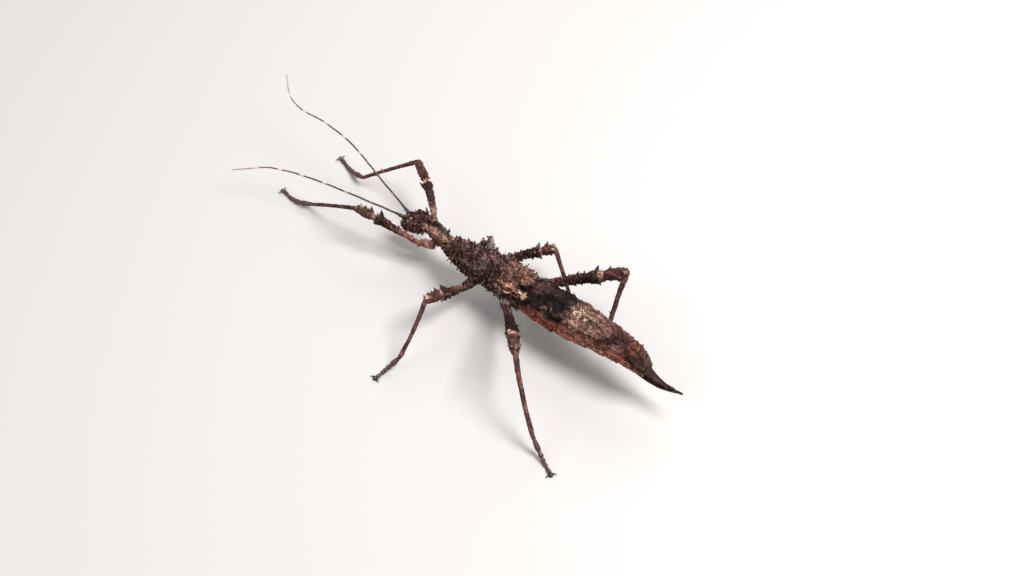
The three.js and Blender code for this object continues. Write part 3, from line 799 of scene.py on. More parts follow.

# How strongly each part gets painted shade in the pits of its relief and a painted highlight on its crests,
# from 0 for evenly painted parts to 1.
PIT_SHADE_CREST_LIGHT_OF = {
    "head": 0.9, "prothorax": 0.5, "mesothorax": 1.0, "metathorax": 1.0,
    "abdomen": 0.75, "coxa": 0.7, "femur": 0.7, "tibia": 0.55,
}


def marking(known):
    """The colour of each surveyed point, and how glossy it is from 0 to 1."""
    wobble = lumps(known.points, 1.7, 3, 4)
    crumbs = lumps(known.points, 0.55, 2, 5)
    on_trunk = trunk_marking(known, wobble, crumbs)
    on_leg = leg_marking(known, wobble, crumbs)
    colours = np.where(known.trunk[:, None], on_trunk, on_leg)
    gloss = np.full(len(wobble), PLAIN_GLOSS)
    for part, shine in GLOSS_OF.items():
        gloss = np.where(known.on(part), shine, gloss)
    saddle = known.on("abdomen") & (known.along < 23.5) & (known.angle > 20)
    return colours, np.where(saddle, SADDLE_GLOSS, gloss)


def write_markings(mesh, colours, gloss):
    """Stores a colour and a gloss for each vertex, for the finishes to read. One gloss may serve all."""
    layer = mesh.color_attributes.new(name="marking", type="FLOAT_COLOR", domain="POINT")
    opaque = np.hstack([colours, np.ones((len(colours), 1))])
    layer.data.foreach_set("color", opaque.astype(np.float32).ravel())
    shine = mesh.attributes.new("gloss", "FLOAT", "POINT")
    shine.data.foreach_set("value", np.broadcast_to(gloss, len(colours)).astype(np.float32))


skin_colours, skin_gloss = marking(skin_known)
painted_relief_light = np.zeros(len(skin_gnarl))
for part, strength in PIT_SHADE_CREST_LIGHT_OF.items():
    painted_relief_light += strength * skin_known.on(part)
# Painted shade and highlight: the pits of the relief are darkened to 0.28 of their colour and the crests
# lightened up to 1.53 times.
shade = 0.28 + 1.25 * soft_step(-0.45, 0.75, skin_gnarl)
skin_shade = 1 + (shade - 1) * painted_relief_light
write_markings(skin.data, np.clip(skin_colours * skin_shade[:, None], 0, 1), skin_gloss)
print("mean skin colour:", (skin_colours * skin_shade[:, None]).mean(0).round(3))

# %% [markdown]
# ## Finishes
# Cuticle is matt where it is crusted and shines like horn where it is bare. One recipe makes both
# finishes: the stored marking is the colour, fine noise mottles it and makes it rough and bumpy at the
# scale of a tenth of a millimetre, and the stored gloss lowers the roughness. Plain colours would look
# like painted plastic.

# %% Recipe for cuticle
GRAIN_SCALE = 3200
PIT_SCALE = 5200
GLOSSY_ROUGHNESS = 0.25


def add_node(finish, kind, inputs, result, **settings):
    """Adds a shader node to a finish, with its settings and inputs, and hands back one of its outputs."""
    node = finish.node_tree.nodes.new("ShaderNode" + kind)
    for name, value in settings.items():
        setattr(node, name, value)
    wire(node, inputs)
    return node.outputs[result]


def scaled_marking(finish, strength):
    """The stored marking, made lighter or darker by a strength."""
    stored = add_node(finish, "Attribute", {}, "Color", attribute_name="marking")
    return add_node(finish, "VectorMath", {0: stored, "Scale": strength}, "Vector", operation="SCALE")


def cuticle(name, matt, mottle, depth, specular):
    """A finish whose colour is the stored marking, mottled, rough and bumpy by fine noise."""
    finish, shader = new_finish(name)
    where = add_node(finish, "TexCoord", {}, "Object")
    grain = add_node(finish, "TexNoise", {"Vector": where, "Scale": GRAIN_SCALE, "Detail": 4}, "Fac")
    limits = {"From Min": 0.3, "From Max": 0.7, "To Min": 1 - mottle, "To Max": 1 + mottle}
    strength = add_node(finish, "MapRange", {"Value": grain, **limits}, "Result")

    gloss = add_node(finish, "Attribute", {}, "Fac", attribute_name="gloss")
    limits = {"To Min": matt, "To Max": GLOSSY_ROUGHNESS}
    dull = add_node(finish, "MapRange", {"Value": gloss, **limits}, "Result")
    lowered = add_node(finish, "Math", {0: dull, 1: 0.15}, "Value", operation="SUBTRACT")
    terms = {0: grain, 1: 0.3, 2: lowered}
    uneven = add_node(finish, "Math", terms, "Value", operation="MULTIPLY_ADD", use_clamp=True)

    pits = add_node(finish, "TexVoronoi", {"Vector": where, "Scale": PIT_SCALE}, "Distance")
    relief = add_node(finish, "Math", {0: grain, 1: pits}, "Value", operation="ADD")
    bump = add_node(finish, "Bump", {"Strength": 0.7, "Distance": depth * MM, "Height": relief}, "Normal")
    wire(shader, {"Base Color": scaled_marking(finish, strength), "Roughness": uneven, "Normal": bump})
    wire(shader, {"Specular IOR Level": specular})
    return finish


bark_cuticle = cuticle("bark_cuticle", matt=0.82, mottle=0.35, depth=0.10, specular=0.08)
horn_cuticle = cuticle("horn_cuticle", matt=0.45, mottle=0.22, depth=0.03, specular=0.4)
print("finishes:", bark_cuticle.name, horn_cuticle.name)

# %% Finish the skin
skin.data.materials.append(bark_cuticle)
skin.data.materials.append(horn_cuticle)
first_corner = np.empty(len(skin.data.polygons), np.int32)
skin.data.polygons.foreach_get("loop_start", first_corner)
vertex_of_corner = np.empty(len(skin.data.loops), np.int32)
skin.data.loops.foreach_get("vertex_index", vertex_of_corner)
bare = skin_known.on("right_fore_coxa") | skin_known.on("hind_coxa")
in_horn = bare[vertex_of_corner[first_corner]]
skin.data.polygons.foreach_set("material_index", in_horn.astype(np.int32))
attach(skin, "root")
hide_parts(*FLESH)
print("faces in horn:", in_horn.sum())

# %% [markdown]
# ## Shapes of the crust
# The crust is thousands of small outgrowths, but only a few shapes: a blunt wart, a pointed prickle, a
# flake and a twig that lean over, a stump and a blade-like tooth. Each is modelled once, by drawing a
# disc upwards step by step, narrowing and shifting it, and closing it at the tip. They have a few dozen
# faces, because there will be very many.

# %% Draw a disc upwards


def drawn_out(name, sides, radius, steps):
    """A closed shape made by extruding a disc along +Z. Each step is (rise, radius, sideways shift)."""
    put_down()
    bpy.ops.mesh.primitive_circle_add(vertices=sides, radius=radius, fill_type="NGON", location=(0, 0, 0))
    piece = bpy.context.object
    piece.name = name
    open_up(piece)
    top, width, aside = 0.0, radius, 0.0
    for rise, new_width, shift in steps:
        bpy.ops.mesh.extrude_region_move(TRANSFORM_OT_translate={"value": (shift, 0, rise)})
        top += rise
        aside += shift
        narrow = new_width / width
        bpy.ops.transform.resize(value=(narrow, narrow, 1), center_override=(aside, 0, top))
        width = new_width
    face_outwards(piece)
    return piece


def outgrowth(name, sides, radius, steps):
    """Vertices and triangles of a small shape that is drawn out and then put away."""
    piece = drawn_out(name, sides, radius, steps)
    apply(piece, "TRIANGULATE")
    points = rows(piece.data.vertices, "co")
    numbers = np.empty(len(piece.data.polygons) * 3, np.int32)
    piece.data.polygons.foreach_get("vertices", numbers)
    bpy.data.objects.remove(piece)
    print(name, "has", len(numbers) // 3, "triangles")
    return points, numbers.reshape(-1, 3)


# %% Model the shapes
WART = outgrowth("wart", 6, 1.0, [(0.45, 0.8, 0), (0.4, 0.38, 0.05)])
PRICKLE = outgrowth("prickle", 5, 1.0, [(0.3, 0.62, 0.1), (0.4, 0.36, 0.3), (0.3, 0.06, 0.5)])
FLAKE = outgrowth("flake", 6, 0.7, [(0.3, 1.0, 0.2), (0.4, 0.75, 0.5), (0.3, 0.12, 0.6)])
TWIG = outgrowth("twig", 5, 1.0, [(0.3, 0.8, 0.9), (0.3, 0.6, -0.5), (0.25, 0.4, 1.3), (0.15, 0.1, 1.0)])
TOOTH_STEPS = [(0.25, 0.85, 0.22), (0.35, 0.5, 0.35), (0.3, 0.15, 0.35), (0.1, 0.03, 0.1)]
TOOTH = outgrowth("tooth", 6, 1.0, TOOTH_STEPS)
STUMP_STEPS = [(0.2, 0.82, 0), (0.25, 0.6, 0.03), (0.3, 0.34, 0.04), (0.25, 0.06, 0.05)]
STUMP = outgrowth("stump", 10, 1.0, STUMP_STEPS)

# %% [markdown]
# ## Planting the crust
# Each outgrowth gets a root on the skin, a direction, a width and a height. The roots are chosen among
# the skin's own vertices, which lie evenly, so a chance for each vertex gives a density. Geometry Nodes
# could scatter them too; arrays are used here because each one also has to carry its colour and its patch
# of a map. That map, OFBake, is an unwrap of the skin by the anatomy: distance along a part by angle
# round it.

# %% Unwrap
# The trunk has the lower part of the map; above it every leg has a strip of its own.
TRUNK_BAND = (0.02, 0.46)
TRUNK_START = 0.02
TRUNK_SPAN = 0.95
LEG_START = 0.51
LEG_BAND_HEIGHT = 0.075
LEG_BAND_FILL = 0.92
PIECE_SPAN = {"coxa": (0.02, 0.12), "femur": (0.14, 0.54), "tibia": (0.56, 0.97)}


def unwrap(known):
    """The place of each surveyed point on the map, both numbers from 0 to 1."""
    turn = (known.angle + 180) / 360
    share = np.clip(known.share, 0, 1)
    u = TRUNK_START + TRUNK_SPAN * share
    v = TRUNK_BAND[0] + (TRUNK_BAND[1] - TRUNK_BAND[0]) * turn
    for number, node in enumerate(FLESH):
        if node not in limb_line:
            continue
        mine = known.node == number
        leg, piece = node.rsplit("_", 1)
        low, high = PIECE_SPAN[piece]
        u[mine] = low + (high - low) * share[mine]
        v[mine] = LEG_START + LEG_BAND_HEIGHT * (LEGS.index(leg) + LEG_BAND_FILL * turn[mine])
    return np.column_stack([u, v])


skin_map = unwrap(skin_known)
skin_points = body_points(skin.data)
skin_outward = rows(skin.data.vertex_normals, "vector")
print("the map runs from", skin_map.min(0).round(2), "to", skin_map.max(0).round(2))

# %% Batches of outgrowths
# Half the width of an outgrowth's own patch of the map.
TUFT_PATCH = 0.0015
CRUST_GLOSS = 0.1


class Batch:
    """Outgrowths of one shape. roots, widths and heights are in body millimetres, places are on the map."""

    def __init__(self, shape, draw, stands, colours, places, flat=1.0, height_shading=0.5, facing=None):
        roots, directions, widths, heights = stands
        directions = directions / np.linalg.norm(directions, axis=1, keepdims=True)
        if facing is None:
            facing = draw.normal(size=directions.shape)
        other = np.cross(directions, facing)
        other /= np.linalg.norm(other, axis=1, keepdims=True)
        side = np.cross(other, directions)
        points, self.triangles = shape
        x = side[:, None] * points[:, 0][None, :, None] * widths[:, None, None]
        y = other[:, None] * (points[:, 1] * flat)[None, :, None] * widths[:, None, None]
        z = directions[:, None] * points[:, 2][None, :, None] * heights[:, None, None]
        self.points = roots[:, None] + x + y + z
        # Painted shade and highlight: each outgrowth is painted darker below 0.45 of its height, towards
        # its root, and lighter above it, towards its tip.
        self.colours = colours[:, None] * (1 + height_shading * (points[:, 2] - 0.45))[None, :, None]
        small = points[:, :2] / np.abs(points[:, :2]).max() * TUFT_PATCH
        self.places = places[:, None] + small[None]


def mesh_of(name, points, triangles):
    """A mesh made of these points in body millimetres and these rows of three point numbers."""
    mesh = bpy.data.meshes.new(name)
    mesh.vertices.add(len(points))
    set_rows(mesh, points)
    mesh.loops.add(triangles.size)
    mesh.loops.foreach_set("vertex_index", triangles.astype(np.int32).ravel())
    mesh.polygons.add(len(triangles))
    mesh.polygons.foreach_set("loop_start", np.arange(0, triangles.size, 3, dtype=np.int32))
    mesh.update(calc_edges=True)
    return mesh


def coat_piece(name, batches, finish):
    """One mesh of many outgrowths, with their colours and their patches of the map."""
    triangles, start = [], 0
    for batch in batches:
        count, size = batch.points.shape[:2]
        shift = start + np.arange(count)[:, None, None] * size
        triangles.append((batch.triangles[None] + shift).reshape(-1, 3))
        start += count * size
    triangles = np.vstack(triangles)
    mesh = mesh_of(name, np.vstack([batch.points.reshape(-1, 3) for batch in batches]), triangles)
    places = np.vstack([batch.places.reshape(-1, 2) for batch in batches])[triangles.ravel()]
    mesh.uv_layers.new(name="OFBake").data.foreach_set("uv", places.astype(np.float32).ravel())
    colours = np.vstack([batch.colours.reshape(-1, 3) for batch in batches])
    write_markings(mesh, np.clip(colours, 0, 1), CRUST_GLOSS)
    mesh.polygons.foreach_set("use_smooth", np.ones(len(triangles), bool))
    mesh.materials.append(finish)
    piece = new_object(name, mesh)
    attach(piece, "root")
    print(name, "has", len(triangles), "triangles")


# %% [markdown]
# ## Sowing
# A patch of crust is sown with a chance for every vertex. Most outgrowths stand on the crests of the
# relief, so that the pits between them stay open and dark. They lean at random and a little towards the
# tail, and their sizes vary, because a row of equal thorns would look machined.

# %% Sow
TOWARDS_TAIL = np.array([0, 0.18, 0])
LEAST_RISE = 0.25


def sow(draw, shape, chance, width, height, lean=0.4, flat=1.0, height_shading=0.6, sink=0.12):
    """A batch planted on the skin. chance is per vertex, width and height are middle sizes in mm."""
    chosen = np.flatnonzero(draw.random(len(chance)) < chance)
    count = len(chosen)
    outward = skin_outward[chosen]
    directions = outward + draw.normal(size=(count, 3)) * lean + TOWARDS_TAIL
    directions += outward * np.maximum(LEAST_RISE - (directions * outward).sum(1), 0)[:, None]
    widths = width * np.exp(0.28 * draw.normal(size=count))
    heights = height * np.exp(0.30 * draw.normal(size=count))
    stands = skin_points[chosen] - outward * sink, directions, widths, heights
    colours = np.clip(skin_colours[chosen] * np.exp(0.25 * draw.normal(size=(count, 1))), 0, 0.8)
    return Batch(shape, draw, stands, colours, skin_map[chosen], flat, height_shading)


def is_on(word):
    """1 for each skin vertex that lies on a node whose name holds this word, else 0."""
    return skin_known.on(word).astype(float)


on_crest = 0.06 + 0.94 * soft_step(0.0, 0.5, skin_gnarl)
clumps = soft_step(-0.25, 0.35, lumps(skin_known.points, 1.4, 2, 8))
on_back = upper_side(skin_known.angle, -10, 25)
on_edge = crest_line(skin_known.angle, 42, 7)
on_outline = crest_line(skin_known.angle, -28, 7) + crest_line(skin_known.angle, 32, 6)
print("share of the skin on crests:", on_crest.mean().round(2))

# %% Crust of the head and the thorax
NAPE_END = -19.3
draw = np.random.default_rng(21)
on_head = np.maximum(is_on("head"), is_on("prothorax") * (skin_known.along < NAPE_END))
coat_piece("crust_head", [
    sow(draw, WART, on_head * 0.07 * on_crest, 0.21, 0.26),
    sow(draw, FLAKE, on_head * 0.07 * on_crest, 0.34, 0.36, lean=0.8, flat=0.5, height_shading=0.4),
    sow(draw, PRICKLE, on_head * 0.008 * clumps, 0.24, 0.42, lean=0.5),
], bark_cuticle)

prickly = 0.03 * clumps * on_crest + 0.02 * on_outline
for part, slim in (("mesothorax", 0.9), ("metathorax", 0.72)):
    draw = np.random.default_rng(22 + len(part))
    here = is_on(part)
    coat_piece(f"crust_{part}", [
        sow(draw, WART, here * 0.045 * on_crest, 0.24 * slim, 0.26),
        sow(draw, FLAKE, here * 0.10 * on_crest, 0.40 * slim, 0.55 * slim, lean=1.0, flat=0.38, height_shading=0.8),
        sow(draw, PRICKLE, here * prickly, 0.27, 0.60, lean=0.5, height_shading=0.7),
        sow(draw, TWIG, here * 0.014 * on_crest, 0.19 * slim, 0.95, lean=1.5, height_shading=0.9),
    ], bark_cuticle)

draw = np.random.default_rng(29)
beside_ridge = is_on("prothorax") * soft_step(0.6, 1.0, np.abs(skin_known.points[:, 0] - RIDGE_X))
coat_piece("crust_collar", [
    sow(draw, WART, is_on("prothorax") * 0.03, 0.15, 0.20),
    sow(draw, FLAKE, beside_ridge * 0.09 * on_crest, 0.30, 0.40, lean=0.9, flat=0.4),
    sow(draw, PRICKLE, beside_ridge * 0.02, 0.22, 0.50, lean=0.4),
], bark_cuticle)

# %% Crust of the abdomen and the legs
draw = np.random.default_rng(23)
rough = is_on("abdomen") * on_back * (0.10 + 0.20 * soft_step(23, 25, skin_known.along))
coat_piece("crust_abdomen", [
    sow(draw, WART, is_on("abdomen") * 0.008 + rough * 0.015 * on_crest, 0.18, 0.14),
    sow(draw, FLAKE, rough * 0.030 * on_crest, 0.36, 0.30, lean=1.0, flat=0.4, height_shading=0.3),
    sow(draw, PRICKLE, is_on("abdomen") * (0.030 * on_edge + 0.02 * on_outline), 0.24, 0.32, lean=0.4),
], bark_cuticle)

on_shank = is_on("femur") + 0.2 * is_on("tibia") + 1.6 * is_on("coxa") * (1 - is_on("right_fore"))
near_body = 1 - soft_step(0.45, 0.6, skin_known.share)
femur_root = (is_on("mid_femur") + 0.7 * is_on("right_hind_femur")) * near_body
for number, side in enumerate(SIDES):
    draw = np.random.default_rng(24 + number)
    on_side = on_shank * is_on(f"{side}_")
    coat_piece(f"crust_{side}_legs", [
        sow(draw, WART, on_side * 0.03, 0.13, 0.16),
        sow(draw, FLAKE, on_side * 0.05 * on_crest, 0.22, 0.34, lean=0.6, flat=0.4),
        sow(draw, PRICKLE, on_side * 0.006, 0.16, 0.30, lean=0.3),
        sow(draw, FLAKE, on_side * femur_root * 0.06, 0.32, 0.48, lean=0.7, flat=0.5),
    ], bark_cuticle)

# %% [markdown]
# ## Compound thorns and teeth
# Great thorns stand on the thorax and the nape. A real one is a small tree: a stout stump with prongs all
# round it. Each is made here as a stump whose prongs leave it at every height, the longest below. The
# femora carry flat triangular teeth before and behind the pale waist, and fine saws along both upper
# edges, so the tooth is a wide shape squeezed flat across the leg and leaning towards the knee.

# %% Thorns
skin_tree = tree_of(skin_points)


def nearest_on_skin(points):
    """The number of the skin vertex nearest to each point in body millimetres."""
    return np.array([skin_tree.find(p)[1] for p in points.tolist()])


def thorn_tree(draw, root, direction, reach, girth, count):
    """Roots, directions, widths and heights of the prongs round one stump."""
    angles = draw.uniform(0, 2 * math.pi, count)
    shares = draw.uniform(0.05, 0.95, count)
    spin = np.cross(direction, (0.3, 0.5, 0.81))
    spin /= np.linalg.norm(spin)
    other = np.cross(direction, spin)
    radial = spin * np.cos(angles)[:, None] + other * np.sin(angles)[:, None]
    roots = root + direction * (reach * shares)[:, None] + radial * (girth * (0.92 - 0.9 * shares))[:, None]
    stray = draw.normal(size=(count, 3)) * 0.25
    directions = radial * 0.8 + direction * (0.6 + 0.9 * shares)[:, None] + stray
    heights = draw.uniform(0.55, 1.0, count) * (1.0 - 0.45 * shares) * min(1.15, 0.35 + 0.3 * reach)
    return roots - radial * 0.1, directions, 0.10 + 0.15 * heights, heights


# Root, direction, reach, girth, prongs. Each is planted on both sides of the body.
GREAT_THORNS = [
    ((3.2, -4.1, 10.6), (0.44, -0.14, 0.86), 4.1, 1.75, 56),
    ((3.0, -5.7, 10.6), (0.50, -0.40, 0.80), 2.7, 1.1, 24),
    ((3.3, -2.6, 10.8), (0.50, 0.20, 0.80), 2.0, 1.0, 20),
    ((1.3, -2.0, 12.3), (0.30, 0.20, 1.0), 1.5, 0.55, 9),
    ((2.2, -6.6, 11.2), (0.50, 0.0, 0.9), 1.4, 0.60, 9),
    ((1.5, -8.4, 11.0), (0.40, 0.0, 1.0), 1.3, 0.50, 8),
    ((1.3, -11.6, 10.2), (0.40, -0.1, 1.0), 1.1, 0.45, 7),
    ((2.2, -12.8, 9.6), (1.0, -0.2, 0.5), 0.9, 0.35, 5),
    ((2.9, -10.4, 9.6), (1.0, 0.0, 0.4), 0.9, 0.40, 5),
    ((3.4, -8.4, 9.3), (1.0, 0.0, 0.2), 0.9, 0.35, 5),
    ((3.9, -6.2, 9.0), (1.0, 0.0, 0.1), 1.0, 0.40, 6),
    ((4.4, 1.0, 10.3), (1.0, 0.0, 0.3), 1.0, 0.45, 6),
    ((3.4, 1.4, 11.3), (0.5, -0.1, 0.9), 1.5, 0.75, 12),
    ((4.5, 3.4, 10.8), (1.0, 0.2, 0.3), 1.0, 0.40, 6),
    ((4.6, 6.2, 11.6), (0.9, 0.3, 0.5), 1.0, 0.40, 6),
    ((4.5, 9.2, 11.4), (0.8, 0.4, 0.4), 0.9, 0.40, 5),
    ((1.5, 2.4, 12.6), (0.4, 0.1, 1.0), 1.2, 0.50, 8),
    ((1.7, 6.0, 13.4), (0.4, 0.2, 1.0), 1.1, 0.45, 8),
    ((1.3, -19.2, 10.2), (0.4, -0.2, 0.9), 0.8, 0.30, 2),
    ((1.4, -15.7, 9.8), (0.4, 0.1, 0.9), 1.8, 0.42, 4),
    ((1.6, -22.2, 12.4), (0.3, -0.35, 0.9), 1.6, 0.60, 9),
    ((1.2, -25.4, 10.9), (0.2, -0.4, 0.9), 0.9, 0.30, 2),
    ((0.9, -22.7, 12.3), (0.1, -0.2, 1.0), 1.2, 0.90, 14),
    ((1.7, -20.9, 12.0), (0.5, 0.1, 0.8), 1.0, 0.55, 7),
    ((2.2, -20.5, 10.2), (0.6, 0.3, -0.5), 1.0, 0.45, 4),
]
STUMP_SINK = 0.3

draw = np.random.default_rng(31)
stumps, prongs = [], []
for root, direction, reach, girth, count in GREAT_THORNS:
    for mirror in (1, -1):
        flip = np.array([mirror, 1, 1])
        root_point = np.array(root) * flip
        heading = np.array(direction) * flip / np.linalg.norm(direction)
        stumps.append((root_point - heading * STUMP_SINK, heading, girth, reach + STUMP_SINK))
        prongs += zip(*thorn_tree(draw, root_point, heading, reach, girth, count))
thorns = []
for shape, members in ((STUMP, stumps), (PRICKLE, prongs)):
    stands = [np.array(column) for column in zip(*members)]
    below = nearest_on_skin(stands[0])
    shade = np.exp(0.25 * draw.normal(size=(len(below), 1)))
    colours = skin_colours[below] * 0.9 * shade
    thorns.append(Batch(shape, draw, stands, colours, skin_map[below], flat=0.8, height_shading=0.9))
coat_piece("thorns_thorax", thorns, bark_cuticle)

# %% Teeth of the femora
# Distance from the pale waist as a share of the femur, lean from its upper edge in degrees, height.
GREAT_TEETH = [
    (-0.40, 40, 0.45), (-0.28, -38, 0.50), (-0.10, 42, 1.45), (-0.08, -42, 1.35),
    (0.07, 40, 1.2), (0.11, -42, 1.1), (0.17, 42, 0.75), (0.24, 45, 0.6),
    (0.25, -45, 0.6), (-0.05, 140, 0.6), (-0.03, -140, 0.55), (0.18, 138, 0.5),
]
EXTRA_TEETH = {"right_mid": [(-0.52, 10, 1.3), (-0.34, 0, 1.5), (-0.20, -15, 1.0)]}
SAW_STEP = 0.07
SAW_LEANS = (42, -42)
SAW_HEIGHT = 0.34
TOOTH_SINK = 0.2

draw = np.random.default_rng(32)
planted, facing = [], []
for leg in LEGS:
    start, length, along, up, across = limb_axes(f"{leg}_femur")
    great = GREAT_TEETH + EXTRA_TEETH.get(leg, [])
    wanted = [(BAND_AT[leg] + offset, lean, height) for offset, lean, height in great]
    for share in np.arange(0.12, 0.97, SAW_STEP):
        for lean in SAW_LEANS:
            shift = draw.uniform(-0.015, 0.015)
            wanted.append((share + shift, lean, SAW_HEIGHT * draw.uniform(0.6, 1.5)))
    for share, lean, height in wanted:
        tilt = math.radians(lean)
        outward = up * math.cos(tilt) + across * math.sin(tilt)
        beside = start + along * share * length + outward
        planted.append((beside, outward, 0.52 * height + 0.14, height + TOOTH_SINK))
        facing.append(along)
roots, directions, widths, heights = (np.array(column) for column in zip(*planted))
below = nearest_on_skin(roots)
stands = skin_points[below] - directions * TOOTH_SINK, directions, widths, heights
teeth = Batch(TOOTH, draw, stands, skin_colours[below], skin_map[below], flat=0.38, facing=np.array(facing))
coat_piece("teeth_femora", [teeth], bark_cuticle)

# %% [markdown]
# ## Laying a straight piece along a path
# Antennae, feet, claws and pads are bent tubes that swell and narrow. Each is drawn out straight along +Z
# first, where every joint is a plain step in width, and then laid along its path. A curve with a bevel
# could carry them too, but it can't change its width so sharply at each joint.

# %% Paths
PATH_POINTS = 60
UPWARDS = np.array([0, 0, 1.0])


def path_through(points):
    """Evenly spaced points on a smooth line through the given ones, and the length of the line."""
    points = np.asarray(points, float)
    ends = np.vstack([2 * points[0] - points[1], points, 2 * points[-1] - points[-2]])
    line = []
    for i in range(len(points) - 1):
        a, b, c, d = ends[i : i + 4]
        for t in np.linspace(0, 1, 20, endpoint=False):
            slope, bend, twist = c - a, 2 * a - 5 * b + 4 * c - d, 3 * b - a - 3 * c + d
            line.append(0.5 * (2 * b + slope * t + bend * t**2 + twist * t**3))
    line.append(points[-1])
    line = np.array(line)
    steps = np.concatenate([[0], np.cumsum(np.linalg.norm(np.diff(line, axis=0), axis=1))])
    even = np.linspace(0, steps[-1], PATH_POINTS)
    return np.column_stack([np.interp(even, steps, line[:, k]) for k in range(3)]), steps[-1]


def lay_along(piece, points):
    """Bends a piece drawn out along +Z in millimetres, and hands back each vertex's share of the way."""
    line, length = path_through(points)
    shape = rows(piece.data.vertices, "co")
    at = np.clip(shape[:, 2] / length, 0, 1) * (len(line) - 1)
    low = np.minimum(at.astype(int), len(line) - 2)
    part = (at - low)[:, None]
    centre = line[low] * (1 - part) + line[low + 1] * part
    headings = np.gradient(line, axis=0)
    headings /= np.linalg.norm(headings, axis=1, keepdims=True)
    along = headings[low] * (1 - part) + headings[low + 1] * part
    up = UPWARDS - along * along[:, 2:3]
    up /= np.linalg.norm(up, axis=1, keepdims=True)
    across = np.cross(along, up)
    set_rows(piece.data, centre + across * shape[:, :1] + up * shape[:, 1:2])
    return shape[:, 2] / length


def centreline(node, start, count):
    """The middle line of a long thin CAD node, from this start at one of its ends."""
    points = np.unique(corners[node], axis=0)
    spread = points - points.mean(0)
    axis = np.linalg.svd(spread, full_matrices=False)[2][0]
    order = np.argsort(spread @ axis)
    if np.linalg.norm(points[order[0]] - start) > np.linalg.norm(points[order[-1]] - start):
        order = order[::-1]
    line = np.array([points[group].mean(0) for group in np.array_split(order, count)])
    line[0] = start
    return line


def finished(piece, finish, node):
    """Gives a piece its finish and smooth outward faces, hangs it on the root and hides the CAD node it
    replaces.
    """
    face_outwards(piece)
    bpy.ops.object.shade_smooth()
    piece.data.materials.clear()
    piece.data.materials.append(finish)
    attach(piece, "root")
    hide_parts(node)
    print(piece.name, "has", len(piece.data.polygons), "faces")


# %% [markdown]
# ## Antennae
# An antenna has a stout basal joint, a small second one, and a whip of many thin joints, dark, with a
# pale ring every few millimetres. It could be one plain tapered tube, but joints that swell a little
# catch the light, so it is drawn out joint by joint. The whip narrows from 0.5 to 0.3 millimetres, and
# its tip fades.

# %% Antennae
# Radius and length of the first two joints, then the whip's radius at its root and its tip.
SCAPE = (0.48, 1.9)
PEDICEL = (0.36, 0.8)
WHIP_RADIUS = (0.27, 0.14)
JOINT_LENGTH = 0.9
RING_SPACING = 6.2
WHIP_BROWN = paint(72, 44, 41)
RING_PALE = paint(222, 186, 174)
TIP_PALE = paint(190, 162, 152)


def antenna_steps(length):
    """The steps of one antenna: rise, radius, sideways shift."""
    steps = [(0.2, SCAPE[0], 0), (SCAPE[1] * 0.7, SCAPE[0] * 0.95, 0), (SCAPE[1] * 0.25, 0.28, 0)]
    steps += [(0.15, PEDICEL[0], 0), (PEDICEL[1] * 0.6, PEDICEL[0] * 0.9, 0), (0.15, 0.22, 0)]
    reached = sum(step[0] for step in steps)
    while reached < length - JOINT_LENGTH * 0.6:
        share = reached / length
        radius = WHIP_RADIUS[0] + (WHIP_RADIUS[1] - WHIP_RADIUS[0]) * share
        joint = min(JOINT_LENGTH * (0.75 + 0.5 * share), length - reached)
        steps += [(joint * 0.12, radius, 0), (joint * 0.74, radius * 1.06, 0)]
        steps.append((joint * 0.14, radius * 0.8, 0))
        reached += joint
    steps.append((0.05, 0.03, 0))
    return steps


def antenna_colours(share, length):
    """Brown joints that are paler where they meet, pale rings, a dark root and a pale tip."""
    from_tip = (1 - share) * length
    near_joint = np.cos(from_tip * 2 * math.pi / (JOINT_LENGTH * 2))
    near_ring = np.cos(from_tip * 2 * math.pi / RING_SPACING)
    colours = two_tones(WHIP_BROWN, BLUSH, 0.5 * soft_step(0.6, 0.98, near_joint))
    colours = mix(colours, RING_PALE, soft_step(0.84, 0.97, near_ring) * soft_step(0.2, 0.5, share))
    colours = mix(colours, BARK_DARK, 1 - soft_step(0.05, 0.10, share))
    return mix(colours, TIP_PALE, 0.7 * soft_step(0.75, 0.98, share))


for side in SIDES:
    node = f"{side}_antenna"
    line = centreline(node, meeting_place("head", node), 22)
    length = path_through(line)[1]
    piece = drawn_out(node, 8, 0.3, antenna_steps(length))
    share = lay_along(piece, line)
    write_markings(piece.data, antenna_colours(share, length), 0.4)
    finished(piece, horn_cuticle, node)
    print(node, "is %.1f mm long" % length)

# %% [markdown]
# ## Eyes
# A compound eye is a small dome of facets that bulges from the side of the head. A whole ball would stand
# out like a bead, so a sphere at the place that the frame gives is cut behind its middle, closed there
# and pressed a little flat. The facets are too fine to model, so the finish has them as a tiny bump, with
# a soft glint. The middle of the dome is painted pale as a painted highlight, where light falls straight
# into the outermost facets, and its rim keeps the eye's dark colour.

# %% Eye finish
FACET_SCALE = 14000
eye_facets, eye_shader = new_finish("eye_facets")
where = add_node(eye_facets, "TexCoord", {}, "Object")
cells = {"Vector": where, "Scale": FACET_SCALE, "Randomness": 0.15}
facets = add_node(eye_facets, "TexVoronoi", cells, "Distance")
strength = add_node(eye_facets, "MapRange", {"Value": facets, "To Min": 1.15, "To Max": 0.45}, "Result")
dimples = add_node(eye_facets, "Bump", {"Distance": 0.02 * MM, "Height": facets}, "Normal", invert=True)
wire(eye_shader, {"Base Color": scaled_marking(eye_facets, strength), "Normal": dimples})
wire(eye_shader, {"Roughness": 0.3, "Coat Weight": 0.2})
print("facets for each millimetre:", FACET_SCALE * MM)

